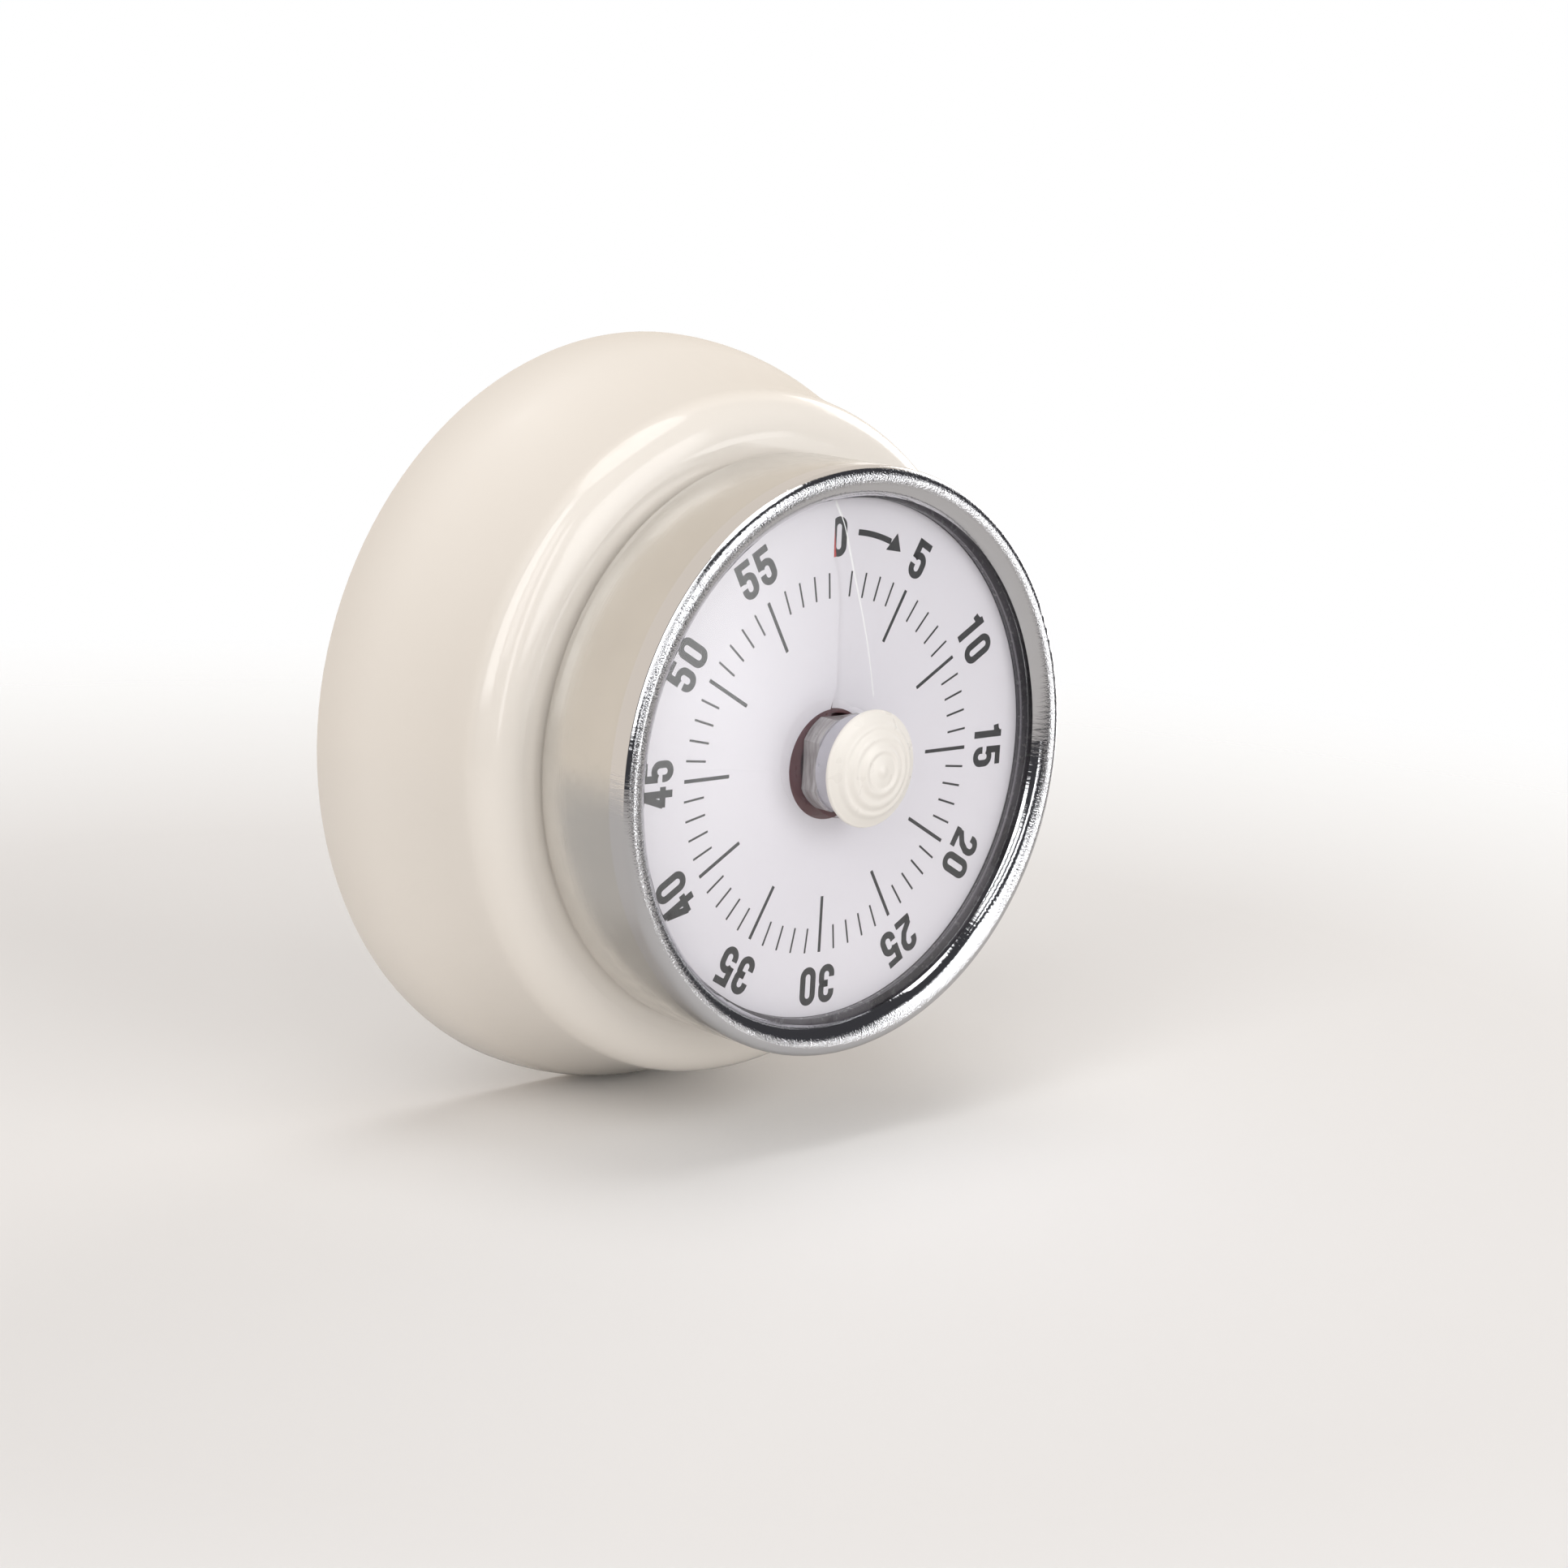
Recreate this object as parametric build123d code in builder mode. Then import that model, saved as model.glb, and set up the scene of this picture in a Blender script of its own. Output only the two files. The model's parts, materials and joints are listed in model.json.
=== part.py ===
from build123d import *

import os
from math import acos, asin, atan2, cos, degrees, hypot, pi, radians, sin, tan

# Wall timer: a cream pressed dome carries a round steel drum with a dial, a clear lens and a
# turn knob. Behind the dial sits a spring driven movement with a gong.
#
# Millimetres. The dial faces -Y and +Z is up. The origin is the centre of the back, where the
# timer meets the wall, so every height below is measured from the wall towards the user.

# ---------------------------------------------------------------- driving dimensions
DOME_BASE_RADIUS = 46.9
DOME_BASE_CURVE = 22.0
DOME_BASE_TURN = 21.2
DOME_SHOULDER_RADIUS = 41.2
DOME_HEIGHT = 25.2
DOME_ROUNDING = 5.4
DOME_WALL = 0.8

DRUM_DIAMETER = 70.0
DRUM_LENGTH = 16.6
DRUM_WALL = 0.6
DRUM_BEAD = 1.2
DRUM_REAR_ROUNDING = 2.5
DRUM_FRONT = DOME_HEIGHT + DRUM_LENGTH
LIP_RADIUS = 31.4
LIP_HEIGHT = DRUM_FRONT - 1.5

DIAL_FACE = DRUM_FRONT - 3.8
DIAL_THICKNESS = 0.4
DIAL_HOLE_RADIUS = 6.6
DIAL_WINDOW_RADIUS = 31.0
DIAL_PLATE_THICKNESS = 0.5
SLIT_ANGLE = 94.8
SLIT_WIDTH = 0.2
RED_DISC_RADIUS = 30.3
RED_DISC_THICKNESS = 0.15
RED_DISC_TOP = DIAL_FACE - 1.45
LENS_BOTTOM = DRUM_FRONT - 2.9
LENS_TOP = DRUM_FRONT - 1.8

KNOB_LOBE_RADIUS = 6.15
KNOB_FLAT_RADIUS = 5.35
KNOB_BORE_RADIUS = 2.6
KNOB_REAR = DIAL_FACE + 0.25
KNOB_COLLAR_RADIUS = 5.9
KNOB_COLLAR_HEIGHT = DRUM_FRONT - 0.9
CAP_RADIUS = 6.98
CAP_REAR = DRUM_FRONT + 1.9
CAP_EDGE = DRUM_FRONT + 2.4
CAP_FRONT = DRUM_FRONT + 4.5
ARBOR_TOP = DRUM_FRONT - 0.3

BACK_PLATE = 1.2
BACK_PLATE_RADIUS = 45.9
PLATE = 1.2
OPENING_RADIUS = 28.3
MOUNTING_RING_RADIUS = 35.0
CHASSIS_RING_RADIUS = 32.4
STACK_RADIUS = 34.1
SPACER_HOLE_RADIUS = 32.3

# The movement hangs between two plates. Its levels are measured from the rear one's rear face.
REAR_PLATE_HEIGHT = 18.0
REAR_PLATE_RADIUS = 27.2
FRONT_PLATE_HEIGHT = REAR_PLATE_HEIGHT + 15.8
FRONT_PLATE_RADIUS = 34.0

MAIN_RADIUS = 1.5
RUNNING_CLEARANCE = 0.05
SHAFT_RADIUS = 0.8
PIVOT_RADIUS = 0.5

GONG_RADIUS = 26.0
GONG_WALL = 1.2
GONG_ROUNDING = 4.0
GONG_BASE = REAR_PLATE_HEIGHT - 11.0
GONG_RIM = REAR_PLATE_HEIGHT - 2.5

# ---------------------------------------------------------------- derived levels
DRUM_RADIUS = DRUM_DIAMETER / 2
CHASSIS_HEIGHT = DOME_HEIGHT + DRUM_WALL
CHASSIS_TOP = CHASSIS_HEIGHT + PLATE
REAR_PLATE_TOP = REAR_PLATE_HEIGHT + PLATE
FRONT_PLATE_TOP = FRONT_PLATE_HEIGHT + PLATE
MOUNTING_RING_TOP = DOME_HEIGHT - DOME_WALL
MOUNTING_RING_HEIGHT = MOUNTING_RING_TOP - PLATE
DIAL_REAR = DIAL_FACE - DIAL_THICKNESS
RED_DISC_REAR = RED_DISC_TOP - RED_DISC_THICKNESS
DIAL_PLATE_TOP = RED_DISC_REAR - 0.1
DIAL_PLATE_HEIGHT = DIAL_PLATE_TOP - DIAL_PLATE_THICKNESS
GONG_INNER_RADIUS = GONG_RADIUS - GONG_WALL


def section(angle=0.0):
    """The half plane through the axis on which a profile is drawn as (radius, height from the wall)."""
    across = (cos(radians(angle)), 0, sin(radians(angle)))
    return Plane(origin=(0, 0, 0), x_dir=across, z_dir=(across[2], 0, -across[0]))


def level(height):
    """The plane at a height from the wall, facing the user, with +X right and +Z up."""
    return Plane.XZ.offset(height)


def polar(radius, angle):
    """A point on the dial side, with the angle anticlockwise from +X as the user sees it."""
    return (radius * cos(radians(angle)), radius * sin(radians(angle)))


def finish(part, name):
    """Label one piece and write its STEP file."""
    part.label = name
    export_step(part, f"parts/{name}.step")


def disc(radius, low, high, hole=0.0):
    """A flat round plate or ring between two heights."""
    with BuildPart() as plate:
        with BuildSketch(level(low)):
            Circle(radius)
            if hole:
                Circle(hole, mode=Mode.SUBTRACT)
        extrude(amount=high - low)
    return plate.part


def drilled_disc(radius, low, high, hole, drillings):
    """A round plate with a centre hole and groups of (points, radius) holes."""
    with BuildPart() as plate:
        with BuildSketch(level(low)):
            Circle(radius)
            Circle(hole, mode=Mode.SUBTRACT)
            for points, drill_radius in drillings:
                with Locations(*points):
                    Circle(drill_radius, mode=Mode.SUBTRACT)
        extrude(amount=high - low)
    return plate.part


def stepped_pins(points, steps):
    """Identical turned pins at each point, from a list of (low, high, radius) steps."""
    with BuildPart() as pins:
        for low, high, radius in steps:
            with BuildSketch(level(low)):
                with Locations(*points):
                    Circle(radius)
            extrude(amount=high - low)
    return pins.part


def hex_pins(points, low, high, across_corners, hole):
    """Hexagonal bars at each point with a hole through."""
    with BuildPart() as bars:
        with BuildSketch(level(low)):
            with Locations(*points):
                RegularPolygon(across_corners / 2, 6)
                Circle(hole, mode=Mode.SUBTRACT)
        extrude(amount=high - low)
    return bars.part


def slotted_screws(points, head_low, head_high, head_radius, shank_end, shank_radius, slot_top):
    """Pan head screws with a straight slot in the side of the head named by slot_top."""
    slot_depth = 0.4 * (head_high - head_low)
    slot_low = head_high - slot_depth if slot_top else head_low
    shank_low, shank_high = sorted((head_low if slot_top else head_high, shank_end))
    with BuildPart() as screws:
        with BuildSketch(level(head_low)):
            with Locations(*points):
                Circle(head_radius)
        extrude(amount=head_high - head_low)
        with BuildSketch(level(slot_low)):
            with Locations(*points):
                Rectangle(3 * head_radius, 0.35 * head_radius, rotation=35)
        extrude(amount=slot_depth, mode=Mode.SUBTRACT)
        with BuildSketch(level(shank_low)):
            with Locations(*points):
                Circle(shank_radius)
        extrude(amount=shank_high - shank_low)
    return screws.part


# ---------------------------------------------------------------- gears
PRESSURE_ANGLE = radians(20)
BACKLASH = 0.12
WHEEL_ADDENDUM = 0.7
WHEEL_DEDENDUM = 1.3
PINION_ADDENDUM = 1.0
PINION_DEDENDUM = 1.1
PINION_OVERHANG = 0.4


def involute(angle):
    return tan(angle) - angle


def around(centre, radius, angle):
    """A point at a radius and angle from a centre on the dial side."""
    x, z = polar(radius, angle)
    return (centre[0] + x, centre[1] + z)


def gear_points(centre, teeth, module, addendum, dedendum, phase):
    """The closed outline of a spur gear, each flank in two straight facets of an involute."""
    pitch = teeth * module / 2
    base = pitch * cos(PRESSURE_ANGLE)
    root = pitch - dedendum * module
    tip = pitch + addendum * module
    start = max(root, base)
    half_at_pitch = (pi * module / 2 - BACKLASH) / (2 * pitch)

    def half_angle(radius):
        rise = involute(PRESSURE_ANGLE) - involute(acos(min(1.0, base / radius)))
        return degrees(half_at_pitch + rise)

    flank = [(radius, half_angle(radius)) for radius in (start, (start + tip) / 2, tip)]
    if root < start:
        flank.insert(0, (root, half_angle(start)))
    outline = []
    for tooth in range(teeth):
        middle = phase + tooth * 360 / teeth
        outline += [around(centre, radius, middle - half) for radius, half in flank]
        outline += [around(centre, radius, middle + half) for radius, half in reversed(flank)]
    return outline


def outline_face(points, low):
    """A face with a closed outline, at a height."""
    with BuildSketch(level(low)) as outline:
        with BuildLine():
            Polyline(*points, close=True)
        make_face()
    return outline.sketch


def gear_wheel(centre, low, high, teeth, module, phase, bore, windows):
    """A stamped brass wheel with round windows between its hub and its rim."""
    pitch = teeth * module / 2
    hub = bore + 0.22 * pitch
    rim = pitch - WHEEL_DEDENDUM * module - 0.09 * pitch
    points = gear_points(centre, teeth, module, WHEEL_ADDENDUM, WHEEL_DEDENDUM, phase)
    window_centres = [around(centre, (hub + rim) / 2, phase + 360 * n / windows) for n in range(windows)]
    with BuildPart() as wheel:
        extrude(outline_face(points, low), amount=high - low)
        with BuildSketch(level(low)):
            with Locations(centre):
                Circle(bore)
            with Locations(*window_centres):
                Circle((rim - hub) / 2)
        extrude(amount=high - low, mode=Mode.SUBTRACT)
    return wheel.part


def pinion_arbor(centre, low, high, teeth, module, phase):
    """A turned steel arbor with a leaf pinion cut on it and a thin pivot in each plate."""
    points = gear_points(centre, teeth, module, PINION_ADDENDUM, PINION_DEDENDUM, phase)
    with BuildPart() as arbor:
        extrude(outline_face(points, low), amount=high - low)
        for start, stop, radius in (
            (REAR_PLATE_HEIGHT, FRONT_PLATE_TOP, PIVOT_RADIUS),
            (REAR_PLATE_TOP + SHAKE, FRONT_PLATE_HEIGHT - SHAKE, SHAFT_RADIUS),
        ):
            with BuildSketch(level(start)):
                with Locations(centre):
                    Circle(radius)
            extrude(amount=stop - start)
    return arbor.part


def next_arbor(previous, distance, radius):
    """The next arbor clockwise, at a centre distance from the last and a radius from the middle."""
    reach = hypot(*previous)
    swing = degrees(acos((reach**2 + radius**2 - distance**2) / (2 * reach * radius)))
    return polar(radius, degrees(atan2(previous[1], previous[0])) - swing)


def direction(start, stop):
    return degrees(atan2(stop[1] - start[1], stop[0] - start[0]))


# ---------------------------------------------------------------- movement layout
SHAKE = 0.15
WHEEL_THICKNESS = 0.8
MAIN_CENTRE = (0.0, 0.0)
SECOND_ANGLE = 100.0
# name, wheel teeth, pinion teeth, module, wheel level, radius of the pinion's arbor
STAGES = (
    ("great", 72, 12, 0.45, REAR_PLATE_HEIGHT + 13.6, 18.9),
    ("second", 60, 12, 0.35, REAR_PLATE_HEIGHT + 11.6, 20.0),
    ("third", 60, 12, 0.30, REAR_PLATE_HEIGHT + 9.4, 19.8),
    ("fourth", 48, 12, 0.30, REAR_PLATE_HEIGHT + 7.2, 19.6),
)
arbors = [MAIN_CENTRE]
for name, wheel_teeth, pinion_teeth, module, height, reach in STAGES:
    spacing = (wheel_teeth + pinion_teeth) * module / 2
    if name == "great":
        arbors.append(polar(spacing, SECOND_ANGLE))
    else:
        arbors.append(next_arbor(arbors[-1], spacing, reach))
escape_centre = arbors[-1]

ESCAPE_TEETH = 16
ESCAPE_RADIUS = 6.0
ESCAPE_LEVEL = REAR_PLATE_HEIGHT + 5.0
VERGE_SPACING = 8.6
verge_centre = next_arbor(escape_centre, VERGE_SPACING, 19.6)

HAMMER_ANGLE = 180.0
HAMMER_REACH = 19.5
hammer_centre = polar(HAMMER_REACH, HAMMER_ANGLE)
HAMMER_HEAD_RADIUS = 2.4
HAMMER_HEAD_REACH = GONG_INNER_RADIUS - HAMMER_HEAD_RADIUS - 0.5
hammer_head_centre = polar(HAMMER_HEAD_REACH, HAMMER_ANGLE + 28)

PILLAR_RADIUS = 1.8
pillar_points = [polar(24.6, angle) for angle in (148, 212, 262, 315)]
spacer_points = [polar(30.3, angle) for angle in (80, 200, 320)]
case_screw_points = [polar(30.4, angle) for angle in (45, 135, 225, 315)]
lug_angles = (30, 150, 270)
lug_points = [polar(41.0, angle) for angle in lug_angles]
nut_points = [polar(32.0, angle) for angle in (90, 210, 330)]
pivot_points = arbors[1:] + [verge_centre, hammer_centre]
SCREW_RADIUS = 1.0
CASE_SCREW_RADIUS = 1.5

os.makedirs("parts", exist_ok=True)

# ---------------------------------------------------------------- dome and back
# The pressed dome: its foot bulges, its flank runs hollow into a round shoulder, and its flat front
# has one opening.
with BuildPart() as mounting_dome:
    with BuildSketch(section()):
        with BuildLine():
            foot = JernArc((DOME_BASE_RADIUS, 0), (0, 1), DOME_BASE_CURVE, DOME_BASE_TURN)
            shoulder = (DOME_SHOULDER_RADIUS, DOME_HEIGHT)
            TangentArc(foot @ 1, shoulder, tangent=foot % 1)
            Polyline(shoulder, (0, DOME_HEIGHT), (0, 0), (DOME_BASE_RADIUS, 0))
        make_face()
    revolve(axis=Axis.Y)
    rims = mounting_dome.edges().filter_by(GeomType.CIRCLE).group_by(Axis.Y)
    fillet(rims[0], radius=DOME_ROUNDING)
    offset(amount=-DOME_WALL, openings=mounting_dome.faces().sort_by(Axis.Y)[-1])
    with BuildSketch(level(0)):
        Circle(OPENING_RADIUS)
        with Locations(*case_screw_points):
            Circle(CASE_SCREW_RADIUS)
    extrude(amount=DOME_HEIGHT, mode=Mode.SUBTRACT)
finish(mounting_dome.part, "mounting_dome")

# Three welded brackets inside the dome take the back plate's screws.
LUG_ARC = 11.0
LUG_SHEET = 1.2
LUG_INNER_RADIUS = 38.0
LUG_TOP = BACK_PLATE + LUG_SHEET
LUG_FLANGE_TOP = 9.0
LUG_FLANGE_RADIUS = 44.0
SMALL_SCREW_RADIUS = 1.25
lug_outline = [
    (LUG_INNER_RADIUS, LUG_TOP),
    (LUG_INNER_RADIUS, BACK_PLATE),
    (BACK_PLATE_RADIUS, BACK_PLATE),
    (LUG_FLANGE_RADIUS, LUG_FLANGE_TOP),
    (LUG_FLANGE_RADIUS - LUG_SHEET, LUG_FLANGE_TOP),
    (BACK_PLATE_RADIUS - 1.3 * LUG_SHEET, LUG_TOP),
]
with BuildPart() as dome_lugs:
    for angle in lug_angles:
        with BuildSketch(section(angle + LUG_ARC / 2)):
            with BuildLine():
                Polyline(*lug_outline, close=True)
            make_face()
        revolve(axis=Axis.Y, revolution_arc=LUG_ARC)
    with BuildSketch(level(BACK_PLATE)):
        with Locations(*lug_points):
            Circle(SMALL_SCREW_RADIUS)
    extrude(amount=LUG_TOP - BACK_PLATE, mode=Mode.SUBTRACT)
finish(dome_lugs.part, "dome_lugs")

# The back plate closes the dome. Its screw heads sit flush in cones.
COUNTERSINK_RADIUS = 2.6
COUNTERSINK_TAPER = degrees(atan2(COUNTERSINK_RADIUS - SMALL_SCREW_RADIUS, BACK_PLATE))
SMALL_SCREW_LENGTH = 3.6
CROSS_SLOT = 3.6
CROSS_SLOT_WIDTH = 0.6
CROSS_SLOT_DEPTH = 0.5
NUT_BORE_RADIUS = 2.0
with BuildPart() as back_plate:
    with BuildSketch(level(0)):
        Circle(BACK_PLATE_RADIUS)
        with Locations(*nut_points):
            Circle(NUT_BORE_RADIUS, mode=Mode.SUBTRACT)
    extrude(amount=BACK_PLATE)
    with BuildSketch(level(0)):
        with Locations(*lug_points):
            Circle(COUNTERSINK_RADIUS)
    extrude(amount=BACK_PLATE, taper=COUNTERSINK_TAPER, mode=Mode.SUBTRACT)
finish(back_plate.part, "back_plate")

with BuildPart() as back_plate_screws:
    with BuildSketch(level(0)):
        with Locations(*lug_points):
            Circle(COUNTERSINK_RADIUS)
    extrude(amount=BACK_PLATE, taper=COUNTERSINK_TAPER)
    with BuildSketch(level(BACK_PLATE)):
        with Locations(*lug_points):
            Circle(SMALL_SCREW_RADIUS)
    extrude(amount=SMALL_SCREW_LENGTH)
    with BuildSketch(level(0)):
        with Locations(*lug_points):
            Rectangle(CROSS_SLOT, CROSS_SLOT_WIDTH, rotation=20)
            Rectangle(CROSS_SLOT_WIDTH, CROSS_SLOT, rotation=20)
    extrude(amount=CROSS_SLOT_DEPTH, mode=Mode.SUBTRACT)
finish(back_plate_screws.part, "back_plate_screws")

# Three clinch nuts on the back plate are what the timer is bolted up by.
NUT_FLANGE = (2.0, 4.5)
NUT_BARREL = (4.8, 3.2)
with BuildPart() as clinch_nuts:
    for top, radius in (NUT_FLANGE, NUT_BARREL):
        with BuildSketch(level(BACK_PLATE)):
            with Locations(*nut_points):
                Circle(radius)
                Circle(NUT_BORE_RADIUS, mode=Mode.SUBTRACT)
        extrude(amount=top - BACK_PLATE)
finish(clinch_nuts.part, "clinch_nuts")

# ---------------------------------------------------------------- drum
# The drum is drawn sheet steel: a flat rear flange, a straight side, a rolled bead and a lip
# that curls in and down towards the dial.
BEAD_CENTRE = (DRUM_RADIUS - DRUM_BEAD, DRUM_FRONT - DRUM_BEAD)
REAR_CENTRE = (DRUM_RADIUS - DRUM_REAR_ROUNDING, DOME_HEIGHT + DRUM_REAR_ROUNDING)
lip_run = BEAD_CENTRE[0] - LIP_RADIUS
lip_drop = DRUM_FRONT - LIP_HEIGHT
LIP_CURL = (lip_run**2 + lip_drop**2) / (2 * lip_drop)
lip_centre = (BEAD_CENTRE[0], DRUM_FRONT - LIP_CURL)
lip_turn = degrees(asin(lip_run / LIP_CURL))


def drum_skin(inset):
    """The drum's profile at a distance inside its outer face, from the rear flange to the lip."""
    rear = DRUM_REAR_ROUNDING - inset
    bead = DRUM_BEAD - inset
    curl = LIP_CURL - inset
    Line((OPENING_RADIUS, DOME_HEIGHT + inset), (REAR_CENTRE[0], DOME_HEIGHT + inset))
    CenterArc(REAR_CENTRE, rear, -90, 90)
    Line((DRUM_RADIUS - inset, REAR_CENTRE[1]), (DRUM_RADIUS - inset, BEAD_CENTRE[1]))
    CenterArc(BEAD_CENTRE, bead, 0, 90)
    CenterArc(lip_centre, curl, 90, lip_turn)


def lip_end(inset):
    """The end of the lip's curl at a distance inside its outer face."""
    return around(lip_centre, LIP_CURL - inset, 90 + lip_turn)


with BuildPart() as drum_case:
    with BuildSketch(section()):
        with BuildLine():
            drum_skin(0.0)
            Line(lip_end(0.0), lip_end(DRUM_WALL))
            drum_skin(DRUM_WALL)
            Line((OPENING_RADIUS, DOME_HEIGHT + DRUM_WALL), (OPENING_RADIUS, DOME_HEIGHT))
        make_face()
    revolve(axis=Axis.Y)
    with BuildSketch(level(DOME_HEIGHT)):
        with Locations(*case_screw_points):
            Circle(CASE_SCREW_RADIUS)
    extrude(amount=DRUM_WALL, mode=Mode.SUBTRACT)
finish(drum_case.part, "drum_case")

# A steel ring inside the dome and a chassis ring inside the drum clamp the two sheets together.
case_drillings = [(case_screw_points, CASE_SCREW_RADIUS)]
mounting_ring = drilled_disc(
    MOUNTING_RING_RADIUS, MOUNTING_RING_HEIGHT, MOUNTING_RING_TOP, OPENING_RADIUS, case_drillings
)
finish(mounting_ring, "mounting_ring")

chassis_drillings = case_drillings + [(spacer_points, SCREW_RADIUS)]
chassis_ring = drilled_disc(
    CHASSIS_RING_RADIUS, CHASSIS_HEIGHT, CHASSIS_TOP, OPENING_RADIUS, chassis_drillings
)
finish(chassis_ring, "chassis_ring")

CASE_SCREW_HEAD = 1.8
CASE_SCREW_HEAD_RADIUS = 2.7
case_screws = slotted_screws(
    case_screw_points,
    head_low=MOUNTING_RING_HEIGHT - CASE_SCREW_HEAD,
    head_high=MOUNTING_RING_HEIGHT,
    head_radius=CASE_SCREW_HEAD_RADIUS,
    shank_end=CHASSIS_TOP,
    shank_radius=CASE_SCREW_RADIUS,
    slot_top=False,
)
finish(case_screws, "case_screws")

# ---------------------------------------------------------------- dial stack and lens
COLLAR_HOLE_RADIUS = 4.0
dial_spacer = disc(STACK_RADIUS, FRONT_PLATE_TOP, DIAL_PLATE_HEIGHT, hole=SPACER_HOLE_RADIUS)
finish(dial_spacer, "dial_spacer")
dial_plate = disc(STACK_RADIUS, DIAL_PLATE_HEIGHT, DIAL_PLATE_TOP, hole=COLLAR_HOLE_RADIUS)
finish(dial_plate, "dial_plate")
finish(disc(STACK_RADIUS, DIAL_PLATE_TOP, DIAL_REAR, hole=DIAL_WINDOW_RADIUS), "dial_shim")
finish(disc(STACK_RADIUS, DIAL_FACE, LENS_BOTTOM, hole=DIAL_WINDOW_RADIUS), "lens_gasket")
finish(disc(STACK_RADIUS, LENS_BOTTOM, LENS_TOP, hole=DIAL_HOLE_RADIUS), "lens")


def slit_disc(outer, hole, low, high):
    """A thin disc cut through along one radius."""
    slit_start = hole - 1.0
    slit_middle = polar((slit_start + DIAL_WINDOW_RADIUS) / 2, SLIT_ANGLE)
    with BuildPart() as slit:
        with BuildSketch(level(low)):
            Circle(outer)
            Circle(hole, mode=Mode.SUBTRACT)
            with Locations(slit_middle):
                slit_length = DIAL_WINDOW_RADIUS - slit_start
                Rectangle(slit_length, SLIT_WIDTH, rotation=SLIT_ANGLE, mode=Mode.SUBTRACT)
        extrude(amount=high - low)
    return slit.part


# The dial and the red disc are each cut along one radius, so that the red disc can wind through
# the dial's slit and show in front of it as the knob is turned.
finish(slit_disc(STACK_RADIUS, DIAL_HOLE_RADIUS, DIAL_REAR, DIAL_FACE), "dial")
finish(slit_disc(RED_DISC_RADIUS, MAIN_RADIUS, RED_DISC_REAR, RED_DISC_TOP), "red_disc")

# ---------------------------------------------------------------- movement frame
running_hole = MAIN_RADIUS + RUNNING_CLEARANCE
pivot_hole = PIVOT_RADIUS + RUNNING_CLEARANCE
plate_drillings = [(pivot_points, pivot_hole), (pillar_points, SCREW_RADIUS)]
post_rivet_points = [polar(4.4, angle) for angle in (30, 150, 270)]
POST_RIVET_RADIUS = 0.6
rear_drillings = plate_drillings + [(post_rivet_points, POST_RIVET_RADIUS)]
rear_plate = drilled_disc(REAR_PLATE_RADIUS, REAR_PLATE_HEIGHT, REAR_PLATE_TOP, running_hole, rear_drillings)
finish(rear_plate, "rear_plate")

front_drillings = plate_drillings + [(spacer_points, SCREW_RADIUS)]
front_plate = drilled_disc(
    FRONT_PLATE_RADIUS, FRONT_PLATE_HEIGHT, FRONT_PLATE_TOP, running_hole, front_drillings
)
finish(front_plate, "front_plate")

SCREW_DEPTH = 3.0
with BuildPart() as pillars:
    with BuildSketch(level(REAR_PLATE_TOP)):
        with Locations(*pillar_points):
            Circle(PILLAR_RADIUS)
    extrude(amount=FRONT_PLATE_HEIGHT - REAR_PLATE_TOP)
    for low in (REAR_PLATE_TOP, FRONT_PLATE_HEIGHT - SCREW_DEPTH):
        with BuildSketch(level(low)):
            with Locations(*pillar_points):
                Circle(SCREW_RADIUS)
        extrude(amount=SCREW_DEPTH, mode=Mode.SUBTRACT)
finish(pillars.part, "pillars")

SPACER_ACROSS_CORNERS = 4.4
chassis_spacers = hex_pins(
    spacer_points, CHASSIS_TOP, FRONT_PLATE_HEIGHT, SPACER_ACROSS_CORNERS, SCREW_RADIUS
)
finish(chassis_spacers, "chassis_spacers")

SCREW_HEAD_RADIUS = 1.7
SCREW_HEAD = 0.7
front_screws = slotted_screws(
    pillar_points + spacer_points,
    head_low=FRONT_PLATE_TOP,
    head_high=FRONT_PLATE_TOP + SCREW_HEAD,
    head_radius=SCREW_HEAD_RADIUS,
    shank_end=FRONT_PLATE_HEIGHT - SCREW_DEPTH,
    shank_radius=SCREW_RADIUS,
    slot_top=True,
)
finish(front_screws, "front_plate_screws")

rear_screws = slotted_screws(
    pillar_points,
    head_low=REAR_PLATE_HEIGHT - SCREW_HEAD,
    head_high=REAR_PLATE_HEIGHT,
    head_radius=SCREW_HEAD_RADIUS,
    shank_end=REAR_PLATE_TOP + SCREW_DEPTH,
    shank_radius=SCREW_RADIUS,
    slot_top=False,
)
finish(rear_screws, "rear_plate_screws")

# ---------------------------------------------------------------- setting arbor and knob
KNOB_SCREW_RADIUS = 0.8
KNOB_SCREW_END = ARBOR_TOP - 4.0
ARBOR_LOW = REAR_PLATE_HEIGHT + 0.2
with BuildPart() as main_arbor:
    with BuildSketch(level(ARBOR_LOW)):
        Circle(MAIN_RADIUS)
    extrude(amount=ARBOR_TOP - ARBOR_LOW)
    with BuildSketch(level(KNOB_SCREW_END)):
        Circle(KNOB_SCREW_RADIUS)
    extrude(amount=ARBOR_TOP - KNOB_SCREW_END, mode=Mode.SUBTRACT)
finish(main_arbor.part, "main_arbor")

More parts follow.
